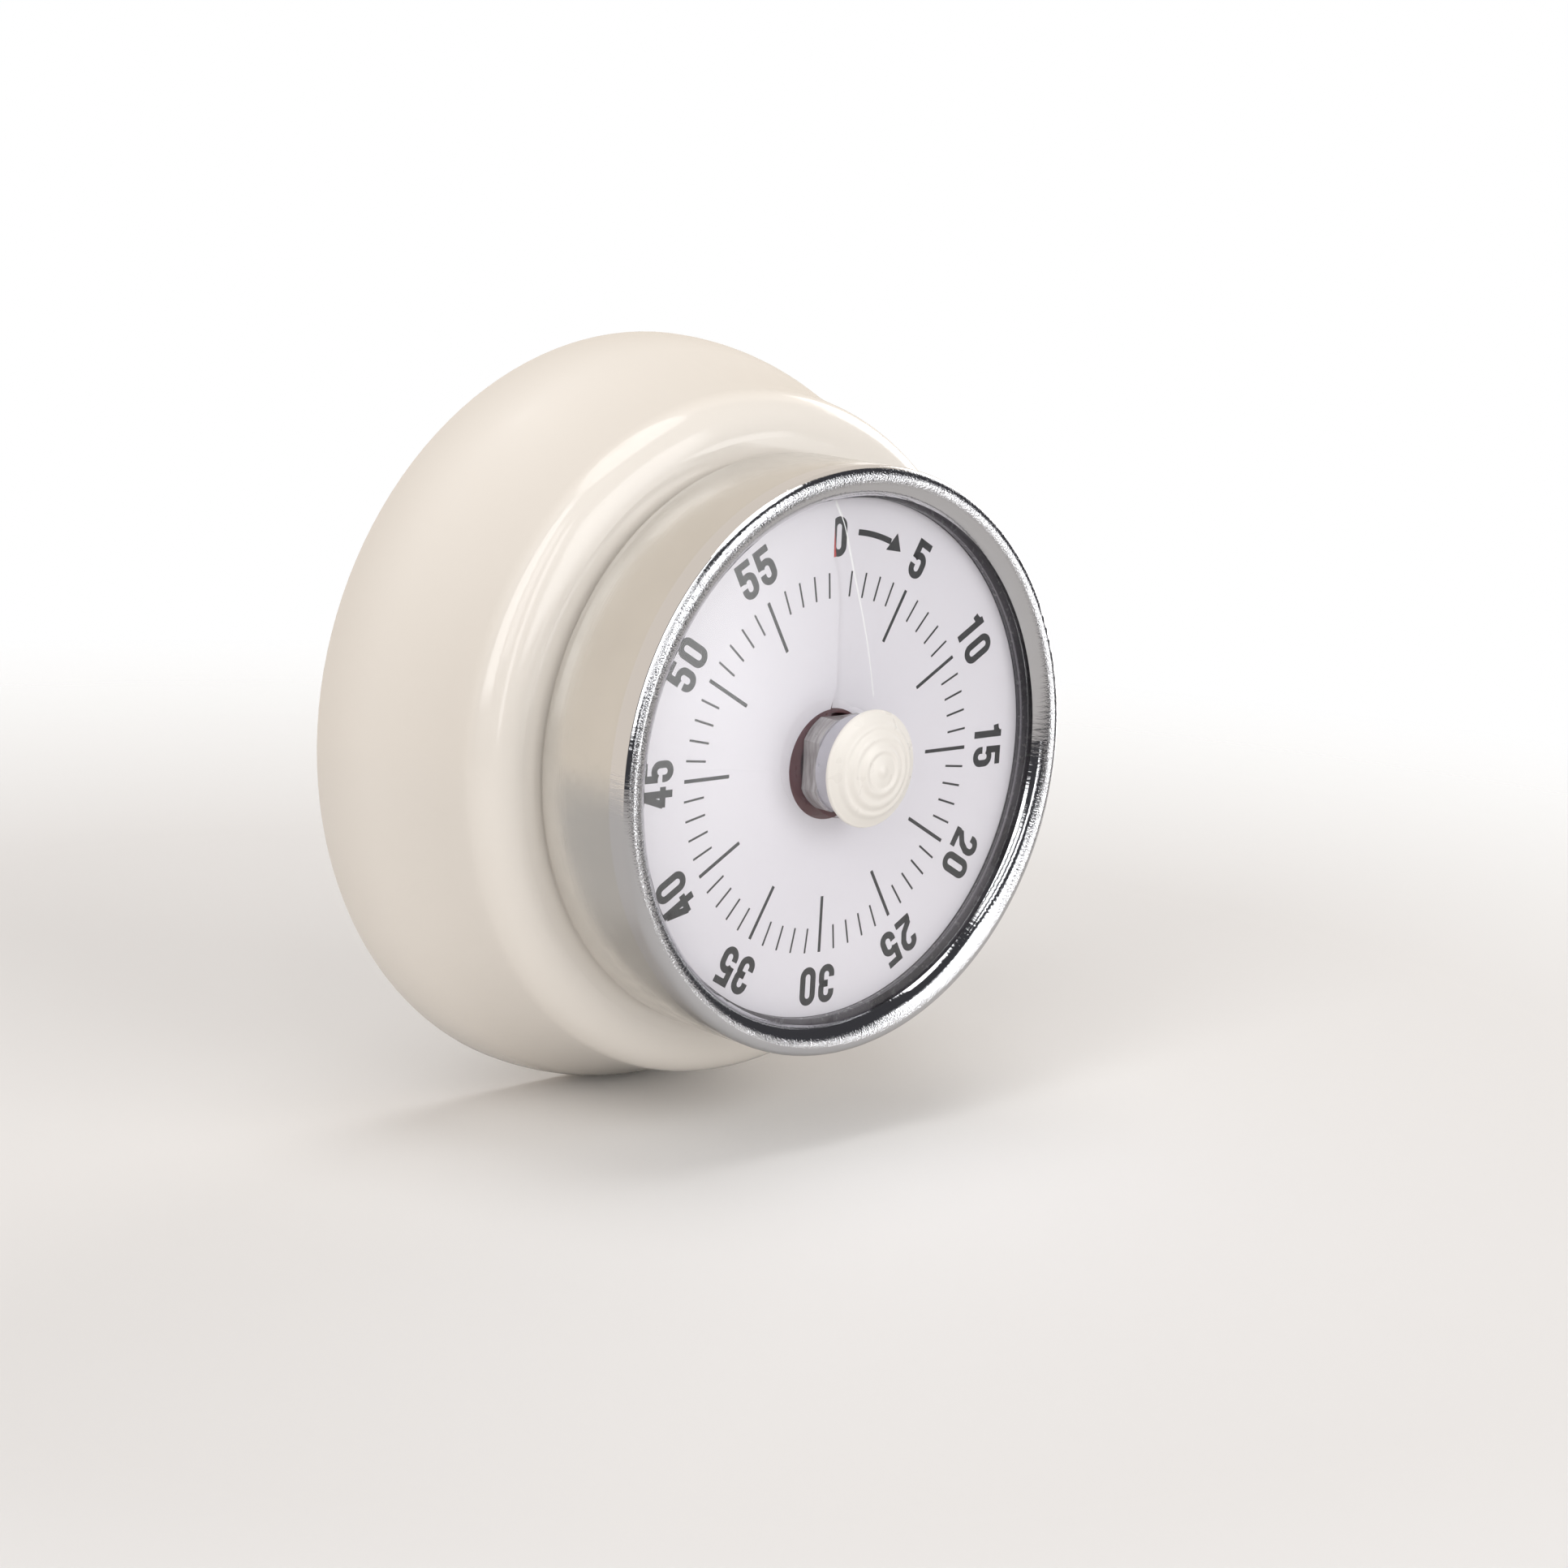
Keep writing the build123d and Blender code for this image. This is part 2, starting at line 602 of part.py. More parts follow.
LOBES = 4
LOBE_HALF_ANGLE = 17.0
with BuildPart() as clear_knob:
    with BuildSketch(level(KNOB_REAR)):
        with BuildLine():
            for lobe in range(LOBES):
                middle = 45 + lobe * 360 / LOBES
                end = middle + 360 / LOBES - LOBE_HALF_ANGLE
                CenterArc((0, 0), KNOB_LOBE_RADIUS, middle - LOBE_HALF_ANGLE, 2 * LOBE_HALF_ANGLE)
                hollow = polar(KNOB_FLAT_RADIUS, middle + 180 / LOBES)
                lobe_end = polar(KNOB_LOBE_RADIUS, middle + LOBE_HALF_ANGLE)
                ThreePointArc(lobe_end, hollow, polar(KNOB_LOBE_RADIUS, end))
        make_face()
    extrude(amount=KNOB_COLLAR_HEIGHT - KNOB_REAR)
    with BuildSketch(level(KNOB_COLLAR_HEIGHT)):
        Circle(KNOB_COLLAR_RADIUS)
    extrude(amount=CAP_REAR - KNOB_COLLAR_HEIGHT)
    with BuildSketch(level(KNOB_REAR)):
        Circle(KNOB_BORE_RADIUS)
    extrude(amount=CAP_REAR - KNOB_REAR, mode=Mode.SUBTRACT)
finish(clear_knob.part, "clear_knob")

finish(disc(KNOB_BORE_RADIUS, RED_DISC_TOP, ARBOR_TOP, hole=MAIN_RADIUS), "knob_bush")

CAP_STEM_RADIUS = 2.1
SCREW_HEAD_TOP = ARBOR_TOP + 0.9
CAP_CROWN = CAP_FRONT - CAP_EDGE
CAP_CURVE = (CAP_RADIUS**2 + CAP_CROWN**2) / (2 * CAP_CROWN)
CAP_TURN = degrees(asin(CAP_RADIUS / CAP_CURVE))
CAP_ROUNDING = 0.25
with BuildPart() as knob_cap:
    with BuildSketch(section()):
        with BuildLine():
            Line((0, CAP_REAR), (CAP_RADIUS - CAP_ROUNDING, CAP_REAR))
            CenterArc((CAP_RADIUS - CAP_ROUNDING, CAP_REAR + CAP_ROUNDING), CAP_ROUNDING, -90, 90)
            Line((CAP_RADIUS, CAP_REAR + CAP_ROUNDING), (CAP_RADIUS, CAP_EDGE))
            CenterArc((0, CAP_FRONT - CAP_CURVE), CAP_CURVE, 90 - CAP_TURN, CAP_TURN)
            Line((0, CAP_FRONT), (0, CAP_REAR))
        make_face()
    revolve(axis=Axis.Y)
    with BuildSketch(level(ARBOR_TOP)):
        Circle(KNOB_BORE_RADIUS)
        Circle(CAP_STEM_RADIUS, mode=Mode.SUBTRACT)
    extrude(amount=CAP_REAR - ARBOR_TOP)
finish(knob_cap.part, "knob_cap")

knob_screw = slotted_screws(
    [MAIN_CENTRE],
    head_low=ARBOR_TOP,
    head_high=SCREW_HEAD_TOP,
    head_radius=CAP_STEM_RADIUS - 0.1,
    shank_end=KNOB_SCREW_END + 0.2,
    shank_radius=KNOB_SCREW_RADIUS,
    slot_top=True,
)
finish(knob_screw, "knob_screw")

DISC_COLLAR_RADIUS = 3.4
disc_collar = disc(DISC_COLLAR_RADIUS, FRONT_PLATE_TOP + SHAKE, RED_DISC_REAR, hole=MAIN_RADIUS)
finish(disc_collar, "disc_collar")

GREAT_LEVEL = STAGES[0][4]
GREAT_THICKNESS = 1.2
CLUTCH_LOW = GREAT_LEVEL - 0.5
COLLAR_LOW = CLUTCH_LOW - 1.2
COLLAR_RADIUS = 3.2
CAM_LOW = REAR_PLATE_HEIGHT + 9.2
CAM_TOP = CAM_LOW + 1.0
CAM_RADIUS = 6.4
CAM_NOTCH_RADIUS = 1.6
CAM_BOSS_RADIUS = 3.0
finish(disc(COLLAR_RADIUS, COLLAR_LOW, CLUTCH_LOW, hole=MAIN_RADIUS), "clutch_collar")

# The slip clutch spring is a three armed washer pressed on the great wheel.
CLUTCH_HUB_RADIUS = 3.6
CLUTCH_ARM = 6.4
CLUTCH_ARM_WIDTH = 2.4
CLUTCH_ARM_REACH = 4.8
with BuildPart() as clutch_spring:
    with BuildSketch(level(CLUTCH_LOW)):
        Circle(CLUTCH_HUB_RADIUS)
        with PolarLocations(CLUTCH_ARM_REACH, 3):
            SlotOverall(CLUTCH_ARM, CLUTCH_ARM_WIDTH)
        Circle(MAIN_RADIUS, mode=Mode.SUBTRACT)
    extrude(amount=GREAT_LEVEL - CLUTCH_LOW)
finish(clutch_spring.part, "clutch_spring")

# The strike cam has one notch that lets the hammer fall when the time is up.
with BuildPart() as strike_cam:
    with BuildSketch(level(CAM_LOW)):
        Circle(CAM_RADIUS)
        with Locations(polar(CAM_RADIUS, HAMMER_ANGLE)):
            Circle(CAM_NOTCH_RADIUS, mode=Mode.SUBTRACT)
        Circle(MAIN_RADIUS, mode=Mode.SUBTRACT)
    extrude(amount=CAM_TOP - CAM_LOW)
    with BuildSketch(level(CAM_TOP)):
        Circle(CAM_BOSS_RADIUS)
        Circle(MAIN_RADIUS, mode=Mode.SUBTRACT)
    extrude(amount=COLLAR_LOW - CAM_TOP)
finish(strike_cam.part, "strike_cam")

# ---------------------------------------------------------------- mainspring
BARREL_RADIUS = 13.0
BARREL_WALL = 0.6
BARREL_TOP = REAR_PLATE_TOP + 5.6
SPRING_LOW = REAR_PLATE_TOP + 0.6
SPRING_TOP = SPRING_LOW + 4.6
COLLET_LOW = SPRING_LOW - 0.2
COLLET_RADIUS = 2.4
finish(disc(BARREL_RADIUS, REAR_PLATE_TOP, BARREL_TOP, hole=BARREL_RADIUS - BARREL_WALL), "spring_barrel")
finish(disc(COLLET_RADIUS, COLLET_LOW, CAM_LOW, hole=MAIN_RADIUS), "spring_collet")


def spiral_edge(centre, start, step, half_turns):
    """Half circles whose centres step sideways as the radius grows."""
    for half_turn in range(half_turns):
        odd = half_turn % 2
        CenterArc((centre[0] + odd * step, centre[1]), start + half_turn * step, 180 * odd, 180)


def spiral_strip(centre, start, step, thickness, half_turns, low, high):
    """A flat spring strip wound in a spiral."""
    end = start + half_turns * step
    with BuildPart() as strip:
        with BuildSketch(level(low)):
            with BuildLine():
                for edge in (0.0, thickness):
                    spiral_edge(centre, start + edge, step, half_turns)
                for reach in (start, end):
                    inner = (centre[0] + reach, centre[1])
                    Line(inner, (inner[0] + thickness, inner[1]))
            make_face()
        extrude(amount=high - low)
    return strip.part


mainspring = spiral_strip(
    MAIN_CENTRE, start=2.9, step=0.42, thickness=0.25, half_turns=20, low=SPRING_LOW, high=SPRING_TOP
)
finish(mainspring, "mainspring")

# ---------------------------------------------------------------- going train
for index, (name, wheel_teeth, pinion_teeth, module, height, reach) in enumerate(STAGES):
    mesh_angle = direction(arbors[index], arbors[index + 1])
    top = height + (GREAT_THICKNESS if index == 0 else WHEEL_THICKNESS)
    bore = MAIN_RADIUS if index == 0 else SHAFT_RADIUS
    wheel = gear_wheel(arbors[index], height, top, wheel_teeth, module, mesh_angle, bore, windows=6)
    finish(wheel, f"{name}_wheel")
    follower = "escape" if index == len(STAGES) - 1 else STAGES[index + 1][0]
    pinion = pinion_arbor(
        arbors[index + 1],
        height - PINION_OVERHANG,
        top + PINION_OVERHANG,
        pinion_teeth,
        module,
        mesh_angle + 180 + 180 / pinion_teeth,
    )
    finish(pinion, f"{follower}_pinion")

# The escape wheel has pointed teeth that lean forward.
ESCAPE_ROOT = 4.5
ESCAPE_WINDOW_RADIUS = 0.9
ESCAPE_WINDOW_REACH = 2.6
ESCAPE_WINDOWS = 6
window_step = 360 / ESCAPE_WINDOWS
escape_windows = [
    around(escape_centre, ESCAPE_WINDOW_REACH, window * window_step) for window in range(ESCAPE_WINDOWS)
]
with BuildPart() as escape_wheel:
    tooth_step = 360 / ESCAPE_TEETH
    outline = []
    for tooth in range(ESCAPE_TEETH):
        start = tooth * tooth_step
        outline.append(around(escape_centre, ESCAPE_ROOT, start - 0.28 * tooth_step))
        outline.append(around(escape_centre, ESCAPE_RADIUS, start))
        outline.append(around(escape_centre, ESCAPE_RADIUS, start + 0.06 * tooth_step))
        outline.append(around(escape_centre, ESCAPE_ROOT, start + 0.30 * tooth_step))
    extrude(outline_face(outline, ESCAPE_LEVEL), amount=WHEEL_THICKNESS)
    with BuildSketch(level(ESCAPE_LEVEL)):
        with Locations(escape_centre):
            Circle(SHAFT_RADIUS)
        with Locations(*escape_windows):
            Circle(ESCAPE_WINDOW_RADIUS)
    extrude(amount=WHEEL_THICKNESS, mode=Mode.SUBTRACT)
finish(escape_wheel.part, "escape_wheel")

# ---------------------------------------------------------------- escapement
VERGE_LOW = REAR_PLATE_HEIGHT + 3.8
VERGE_TOP = VERGE_LOW + 0.7
VERGE_BOSS_RADIUS = 1.8
VERGE_HALF_WIDTH = 0.7
PALLET_REACH = 6.9
PALLET_ANGLE = 48.0
PALLET_RADIUS = 0.35
PALLET_LENGTH = 1.6
BAR_LOW = REAR_PLATE_HEIGHT + 2.3
BAR_TOP = BAR_LOW + 0.8
BAR_WIDTH = 1.4
BAR_BOSS_RADIUS = 1.6
BAR_HALF_LENGTH = 5.2
WEIGHT_RADIUS = 1.4
to_verge = direction(escape_centre, verge_centre)
pallets = [around(escape_centre, PALLET_REACH, to_verge + side * PALLET_ANGLE) for side in (-1, 1)]

with BuildPart() as verge_arbor:
    for start, stop, radius in (
        (REAR_PLATE_HEIGHT, FRONT_PLATE_TOP, PIVOT_RADIUS),
        (REAR_PLATE_TOP + SHAKE, FRONT_PLATE_HEIGHT - SHAKE, SHAFT_RADIUS),
    ):
        with BuildSketch(level(start)):
            with Locations(verge_centre):
                Circle(radius)
        extrude(amount=stop - start)
finish(verge_arbor.part, "verge_arbor")

with BuildPart() as verge:
    with BuildSketch(level(VERGE_LOW)):
        with BuildLine():
            Polyline(pallets[0], verge_centre, pallets[1])
            offset(amount=VERGE_HALF_WIDTH, kind=Kind.ARC)
        make_face()
        with Locations(verge_centre):
            Circle(VERGE_BOSS_RADIUS)
            Circle(SHAFT_RADIUS, mode=Mode.SUBTRACT)
    extrude(amount=VERGE_TOP - VERGE_LOW)
    with BuildSketch(level(VERGE_TOP)):
        with Locations(*pallets):
            Circle(PALLET_RADIUS)
    extrude(amount=PALLET_LENGTH)
finish(verge.part, "verge")

along_bar = to_verge + 90
with BuildPart() as inertia_bar:
    with BuildSketch(level(BAR_LOW)):
        with Locations(verge_centre):
            Rectangle(2 * BAR_HALF_LENGTH, BAR_WIDTH, rotation=along_bar)
        with Locations(*[around(verge_centre, BAR_HALF_LENGTH, along_bar + turn) for turn in (0, 180)]):
            Circle(WEIGHT_RADIUS)
        with Locations(verge_centre):
            Circle(BAR_BOSS_RADIUS)
            Circle(SHAFT_RADIUS, mode=Mode.SUBTRACT)
    extrude(amount=BAR_TOP - BAR_LOW)
finish(inertia_bar.part, "inertia_bar")

# ---------------------------------------------------------------- gong and hammer
POST_FLANGE = 1.2
POST_FLANGE_RADIUS = 6.0
POST_RADIUS = 2.5
GONG_NUT = 2.0
GONG_NUT_ACROSS_CORNERS = 6.4
THREAD_END = GONG_BASE - GONG_NUT - 0.4
with BuildPart() as gong_post:
    for low, high, radius in (
        (REAR_PLATE_HEIGHT - POST_FLANGE, REAR_PLATE_HEIGHT, POST_FLANGE_RADIUS),
        (GONG_BASE + GONG_WALL, REAR_PLATE_HEIGHT - POST_FLANGE, POST_RADIUS),
        (THREAD_END, GONG_BASE + GONG_WALL, MAIN_RADIUS),
    ):
        with BuildSketch(level(low)):
            Circle(radius)
        extrude(amount=high - low)
    with BuildSketch(level(REAR_PLATE_HEIGHT)):
        with Locations(*post_rivet_points):
            Circle(POST_RIVET_RADIUS)
    extrude(amount=PLATE)
finish(gong_post.part, "gong_post")

with BuildPart() as gong:
    with BuildSketch(section()):
        with BuildLine():
            corners = [(GONG_RADIUS, GONG_BASE), (GONG_RADIUS, GONG_RIM)]
            Polyline((0, GONG_BASE), *corners, (0, GONG_RIM), close=True)
        make_face()
    revolve(axis=Axis.Y)
    fillet(gong.edges().group_by(Axis.Y)[-1], radius=GONG_ROUNDING)
    offset(amount=-GONG_WALL, openings=gong.faces().sort_by(Axis.Y)[0])
    with BuildSketch(level(GONG_BASE)):
        Circle(MAIN_RADIUS)
    extrude(amount=GONG_WALL, mode=Mode.SUBTRACT)
finish(gong.part, "gong")

gong_nut = hex_pins([MAIN_CENTRE], GONG_BASE - GONG_NUT, GONG_BASE, GONG_NUT_ACROSS_CORNERS, MAIN_RADIUS)
finish(gong_nut, "gong_nut")

LEVER_LOW = REAR_PLATE_HEIGHT - 3.4
LEVER_TOP = LEVER_LOW + 1.0
LEVER_HALF_WIDTH = 1.3
HAMMER_LOW = LEVER_LOW - 5.0
FOLLOWER_LOW = CAM_LOW
FOLLOWER_TOP = CAM_TOP
FOLLOWER_HALF_WIDTH = 1.1
follower_tip = polar(CAM_RADIUS + FOLLOWER_HALF_WIDTH + 0.4, HAMMER_ANGLE)

with BuildPart() as hammer_arbor:
    for start, stop, radius in (
        (LEVER_LOW, FRONT_PLATE_TOP, PIVOT_RADIUS),
        (REAR_PLATE_TOP + SHAKE, FRONT_PLATE_HEIGHT - SHAKE, SHAFT_RADIUS),
    ):
        with BuildSketch(level(start)):
            with Locations(hammer_centre):
                Circle(radius)
        extrude(amount=stop - start)
finish(hammer_arbor.part, "hammer_arbor")


def flat_arm(start, stop, low, high, half_width, start_hole, stop_hole):
    """A flat stamped arm with round ends, and a hole at either end."""
    with BuildPart() as arm:
        with BuildSketch(level(low)):
            with BuildLine():
                Line(start, stop)
                offset(amount=half_width, kind=Kind.ARC)
            make_face()
            with Locations(start):
                Circle(start_hole, mode=Mode.SUBTRACT)
            if stop_hole:
                with Locations(stop):
                    Circle(stop_hole, mode=Mode.SUBTRACT)
        extrude(amount=high - low)
    return arm.part


HEAD_STUD_RADIUS = 0.7
hammer_lever = flat_arm(
    hammer_centre,
    hammer_head_centre,
    LEVER_LOW,
    LEVER_TOP,
    half_width=LEVER_HALF_WIDTH,
    start_hole=PIVOT_RADIUS,
    stop_hole=HEAD_STUD_RADIUS,
)
finish(hammer_lever, "hammer_lever")
hammer_head = stepped_pins(
    [hammer_head_centre],
    [(HAMMER_LOW, LEVER_LOW, HAMMER_HEAD_RADIUS), (LEVER_LOW, LEVER_TOP, HEAD_STUD_RADIUS)],
)
finish(hammer_head, "hammer_head")
follower = flat_arm(
    hammer_centre,
    follower_tip,
    FOLLOWER_LOW,
    FOLLOWER_TOP,
    half_width=FOLLOWER_HALF_WIDTH,
    start_hole=SHAFT_RADIUS,
    stop_hole=0,
)
finish(follower, "hammer_follower")

HAMMER_SPRING_LOW = FOLLOWER_TOP + 0.8
HAMMER_SPRING_TOP = HAMMER_SPRING_LOW + 1.0
hammer_spring = spiral_strip(
    hammer_centre,
    start=1.1,
    step=0.28,
    thickness=0.15,
    half_turns=8,
    low=HAMMER_SPRING_LOW,
    high=HAMMER_SPRING_TOP,
)
finish(hammer_spring, "hammer_spring")
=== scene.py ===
"""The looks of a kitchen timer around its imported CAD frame.

Lengths are millimetres until a mesh is built, and MM turns them into metres. A height is measured
from the back of the timer towards the user, so it is -Y in the row frame. Places on the dial are
minutes of the hour, clockwise from the top. Angles are degrees, anticlockwise from +X as the user
sees them, unless a comment says otherwise.
"""

import json
from math import atan2, cos, degrees, hypot, pi, radians, sin

import bmesh
import bpy
from mathutils import Matrix, Vector


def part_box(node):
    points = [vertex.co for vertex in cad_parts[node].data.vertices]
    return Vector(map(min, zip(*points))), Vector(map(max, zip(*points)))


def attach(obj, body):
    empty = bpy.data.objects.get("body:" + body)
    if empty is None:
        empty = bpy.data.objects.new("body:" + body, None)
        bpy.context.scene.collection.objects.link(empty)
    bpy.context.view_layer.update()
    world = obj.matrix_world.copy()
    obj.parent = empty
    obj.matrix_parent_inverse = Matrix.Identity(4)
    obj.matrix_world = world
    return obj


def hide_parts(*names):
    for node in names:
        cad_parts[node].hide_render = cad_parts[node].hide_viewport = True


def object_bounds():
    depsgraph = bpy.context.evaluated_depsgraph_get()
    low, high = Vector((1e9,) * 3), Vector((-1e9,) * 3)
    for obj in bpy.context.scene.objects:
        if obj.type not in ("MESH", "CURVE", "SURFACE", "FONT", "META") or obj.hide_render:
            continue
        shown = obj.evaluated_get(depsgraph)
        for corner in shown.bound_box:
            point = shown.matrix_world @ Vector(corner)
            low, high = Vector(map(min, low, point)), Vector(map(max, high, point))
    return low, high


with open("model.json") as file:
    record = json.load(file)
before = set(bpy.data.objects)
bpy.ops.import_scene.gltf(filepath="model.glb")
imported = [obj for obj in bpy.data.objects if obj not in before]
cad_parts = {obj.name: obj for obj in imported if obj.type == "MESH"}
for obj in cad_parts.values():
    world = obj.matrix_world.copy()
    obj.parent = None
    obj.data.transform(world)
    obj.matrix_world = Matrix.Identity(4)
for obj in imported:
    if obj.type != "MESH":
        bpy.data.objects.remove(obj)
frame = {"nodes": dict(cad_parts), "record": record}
cad_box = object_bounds()

MM = 0.001
CASE = "case"
SETTING = "setting_arbor"


def heights(node):
    """The lowest and highest height of a CAD node, in mm."""
    low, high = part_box(node)
    return -high.y / MM, -low.y / MM


def radius_of(node):
    """Half the width of a round CAD node, in mm."""
    low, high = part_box(node)
    return (high.x - low.x) / 2 / MM


# The frame's sizes that the visible pieces are built on.
DIAL_FACE = heights("dial")[1]
DISC_TOP = heights("red_disc")[1]
DRUM_FRONT = heights("drum_case")[1]
CAP_STEM_LOW, CAP_FRONT = heights("knob_cap")
CAP_RADIUS = radius_of("knob_cap")
DISC_RADIUS = radius_of("red_disc")
ARBOR_RADIUS = radius_of("main_arbor")

# The dial's hole, the opening it is seen through, and the height where the clear knob's foot ends.
DIAL_HOLE_RADIUS = 6.6
DIAL_WINDOW_RADIUS = 30.97
HUB_STEP = DRUM_FRONT - 0.9

# Vertices this close are one, in metres, and points of a stroke this close are one, in mm.
WELD = 1e-7
SAME_POINT = 1e-6


# ---------------------------------------------------------------- mesh helpers
def spot(radius, angle, height):
    """A point at an angle in degrees, anticlockwise from +X as the user sees it."""
    return (radius * cos(radians(angle)), -height, radius * sin(radians(angle)))


def solid(name, vertices, faces, body, finish, sharp=35.0):
    """A piece from points in mm, smooth but for the edges sharper than an angle in degrees."""
    mesh = bpy.data.meshes.new(name)
    mesh.from_pydata([Vector(v) * MM for v in vertices], [], faces)
    work = bmesh.new()
    work.from_mesh(mesh)
    bmesh.ops.remove_doubles(work, verts=work.verts, dist=WELD)
    bmesh.ops.recalc_face_normals(work, faces=work.faces)
    for face in work.faces:
        face.smooth = True
    for edge in work.edges:
        edge.smooth = len(edge.link_faces) == 2 and degrees(edge.calc_face_angle(0.0)) < sharp
    work.to_mesh(mesh)
    work.free()
    piece = bpy.data.objects.new(name, mesh)
    bpy.context.scene.collection.objects.link(piece)
    piece.data.materials.append(finish)
    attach(piece, body)
    return piece


def lathe(name, outline, body, finish, steps=160):
    """A turned piece from a closed outline of (radius, height) points."""
    count = len(outline)
    vertices, faces = [], []
    for step in range(steps):
        vertices += [spot(radius, 360 * step / steps, height) for radius, height in outline]
        here, there = step * count, (step + 1) % steps * count
        for i in range(count):
            j = (i + 1) % count
            faces.append((here + i, here + j, there + j, there + i))
    return solid(name, vertices, faces, body, finish)


def arc(cx, cy, radius, start, stop, steps=10):
    """Points on an arc between two angles in degrees."""
    turns = [radians(start + (stop - start) * i / steps) for i in range(steps + 1)]
    return [(cx + radius * cos(turn), cy + radius * sin(turn)) for turn in turns]


def between(start, stop, count):
    """Evenly spaced values from start to stop."""
    return [start + (stop - start) * i / (count - 1) for i in range(count)]


# ---------------------------------------------------------------- finishes
class Nodes:
    """A node tree, with short ways to add what this file needs."""

    def __init__(self, tree):
        self.tree = tree

    def new(self, kind):
        return self.tree.nodes.new(kind)

    def add(self, kind, **inputs):
        """A node whose inputs are numbers, colours or other nodes' outputs."""
        node = self.new(kind)
        for name, value in inputs.items():
            self.feed(node.inputs[name.replace("_", " ")], value)
        return node

    def feed(self, socket, value):
        if isinstance(value, bpy.types.NodeSocket):
            self.tree.links.new(value, socket)
        else:
            socket.default_value = value

    def math(self, operation, *values):
        node = self.new("ShaderNodeMath")
        node.operation = operation
        for socket, value in zip(node.inputs, values):
            self.feed(socket, value)
        return node.outputs["Value"]

    def length(self, a, b):
        """The length of a vector from its two parts."""
        square = self.math("ADD", self.math("MULTIPLY", a, a), self.math("MULTIPLY", b, b))
        return self.math("SQRT", square)

    def between(self, factor, low, high, out_low=0.0, out_high=1.0):
        """A factor stretched from one range to another, and held at its ends."""
        node = self.add("ShaderNodeMapRange", Value=factor)
        limits = {"From Min": low, "From Max": high, "To Min": out_low, "To Max": out_high}
        for name, value in limits.items():
            node.inputs[name].default_value = value
        return node.outputs["Result"]

    def blend(self, factor, first, second):
        """A colour between two colours."""
        node = self.new("ShaderNodeMix")
        node.data_type = "RGBA"
        first_socket, second_socket, mixed = node.inputs[6], node.inputs[7], node.outputs[2]
        self.feed(node.inputs["Factor"], factor)
        self.feed(first_socket, first)
        self.feed(second_socket, second)
        return mixed


class Finish(Nodes):
    """A Principled material and the texture nodes that drive it."""

    def __init__(self, name, **settings):
        self.material = bpy.data.materials.new(name)
        self.material.use_nodes = True
        super().__init__(self.material.node_tree)
        self.shader = self.tree.nodes["Principled BSDF"]
        self.place = self.new("ShaderNodeTexCoord").outputs["Object"]
        for setting, value in settings.items():
            self.shader.inputs[setting.replace("_", " ")].default_value = value

    def stretched(self, x, y, z):
        """Object coordinates scaled along each axis, in cells per mm."""
        mapping = self.add("ShaderNodeMapping", Vector=self.place)
        mapping.inputs["Scale"].default_value = (x / MM, y / MM, z / MM)
        return mapping.outputs["Vector"]

    def noise(self, cells, detail=3.0, vector=None):
        """Noise with a number of cells per mm, or along a vector of its own."""
        vector = vector or self.stretched(cells, cells, cells)
        node = self.add("ShaderNodeTexNoise", Vector=vector, Scale=1.0, Detail=detail, Roughness=0.5)
        return node.outputs["Fac"]

    def spread(self, cells, low, high):
        """Noise stretched between two values."""
        return self.between(self.noise(cells), 0.3, 0.7, low, high)

    def colour(self, value):
        self.feed(self.shader.inputs["Base Color"], value)

    def roughness(self, value):
        self.feed(self.shader.inputs["Roughness"], value)

    def bump(self, height, depth):
        """Relief of a depth in mm."""
        node = self.add("ShaderNodeBump", Height=height, Strength=1.0, Distance=depth * MM)
        self.feed(self.shader.inputs["Normal"], node.outputs["Normal"])

    def axis_radius(self):
        """Distance from the timer's axis, in mm."""
        parts = self.add("ShaderNodeSeparateXYZ", Vector=self.place)
        return self.math("DIVIDE", self.length(parts.outputs["X"], parts.outputs["Z"]), MM)

    def height(self):
        """Height from the timer's back, in mm."""
        parts = self.add("ShaderNodeSeparateXYZ", Vector=self.place)
        return self.math("DIVIDE", parts.outputs["Y"], -MM)

    def turning(self, rings, streaks):
        """Fine rings round the axis, as a lathe or a polishing wheel leaves them."""
        parts = self.add("ShaderNodeSeparateXYZ", Vector=self.place)
        angle = self.math("ARCTAN2", parts.outputs["Z"], parts.outputs["X"])
        vector = self.new("ShaderNodeCombineXYZ")
        self.feed(vector.inputs["X"], self.math("MULTIPLY", self.axis_radius(), rings))
        self.feed(vector.inputs["Y"], self.math("MULTIPLY", self.height(), rings))
        self.feed(vector.inputs["Z"], self.math("MULTIPLY", self.math("ABSOLUTE", angle), streaks))
        return self.noise(1.0, detail=4.0, vector=vector.outputs["Vector"])

    def drawn(self, round_cells, out_cells):
        """Streaks that run away from the axis: cells per radian round it, cells per mm outwards."""
        parts = self.add("ShaderNodeSeparateXYZ", Vector=self.place)
        radius = self.axis_radius()
        scale = self.math("DIVIDE", round_cells / MM, radius)
        vector = self.new("ShaderNodeCombineXYZ")
        self.feed(vector.inputs["X"], self.math("MULTIPLY", parts.outputs["X"], scale))
        self.feed(vector.inputs["Y"], self.math("MULTIPLY", parts.outputs["Z"], scale))
        out = self.math("MULTIPLY", self.math("ADD", radius, self.height()), out_cells)
        self.feed(vector.inputs["Z"], out)
        return self.noise(1.0, detail=3.0, vector=vector.outputs["Vector"])


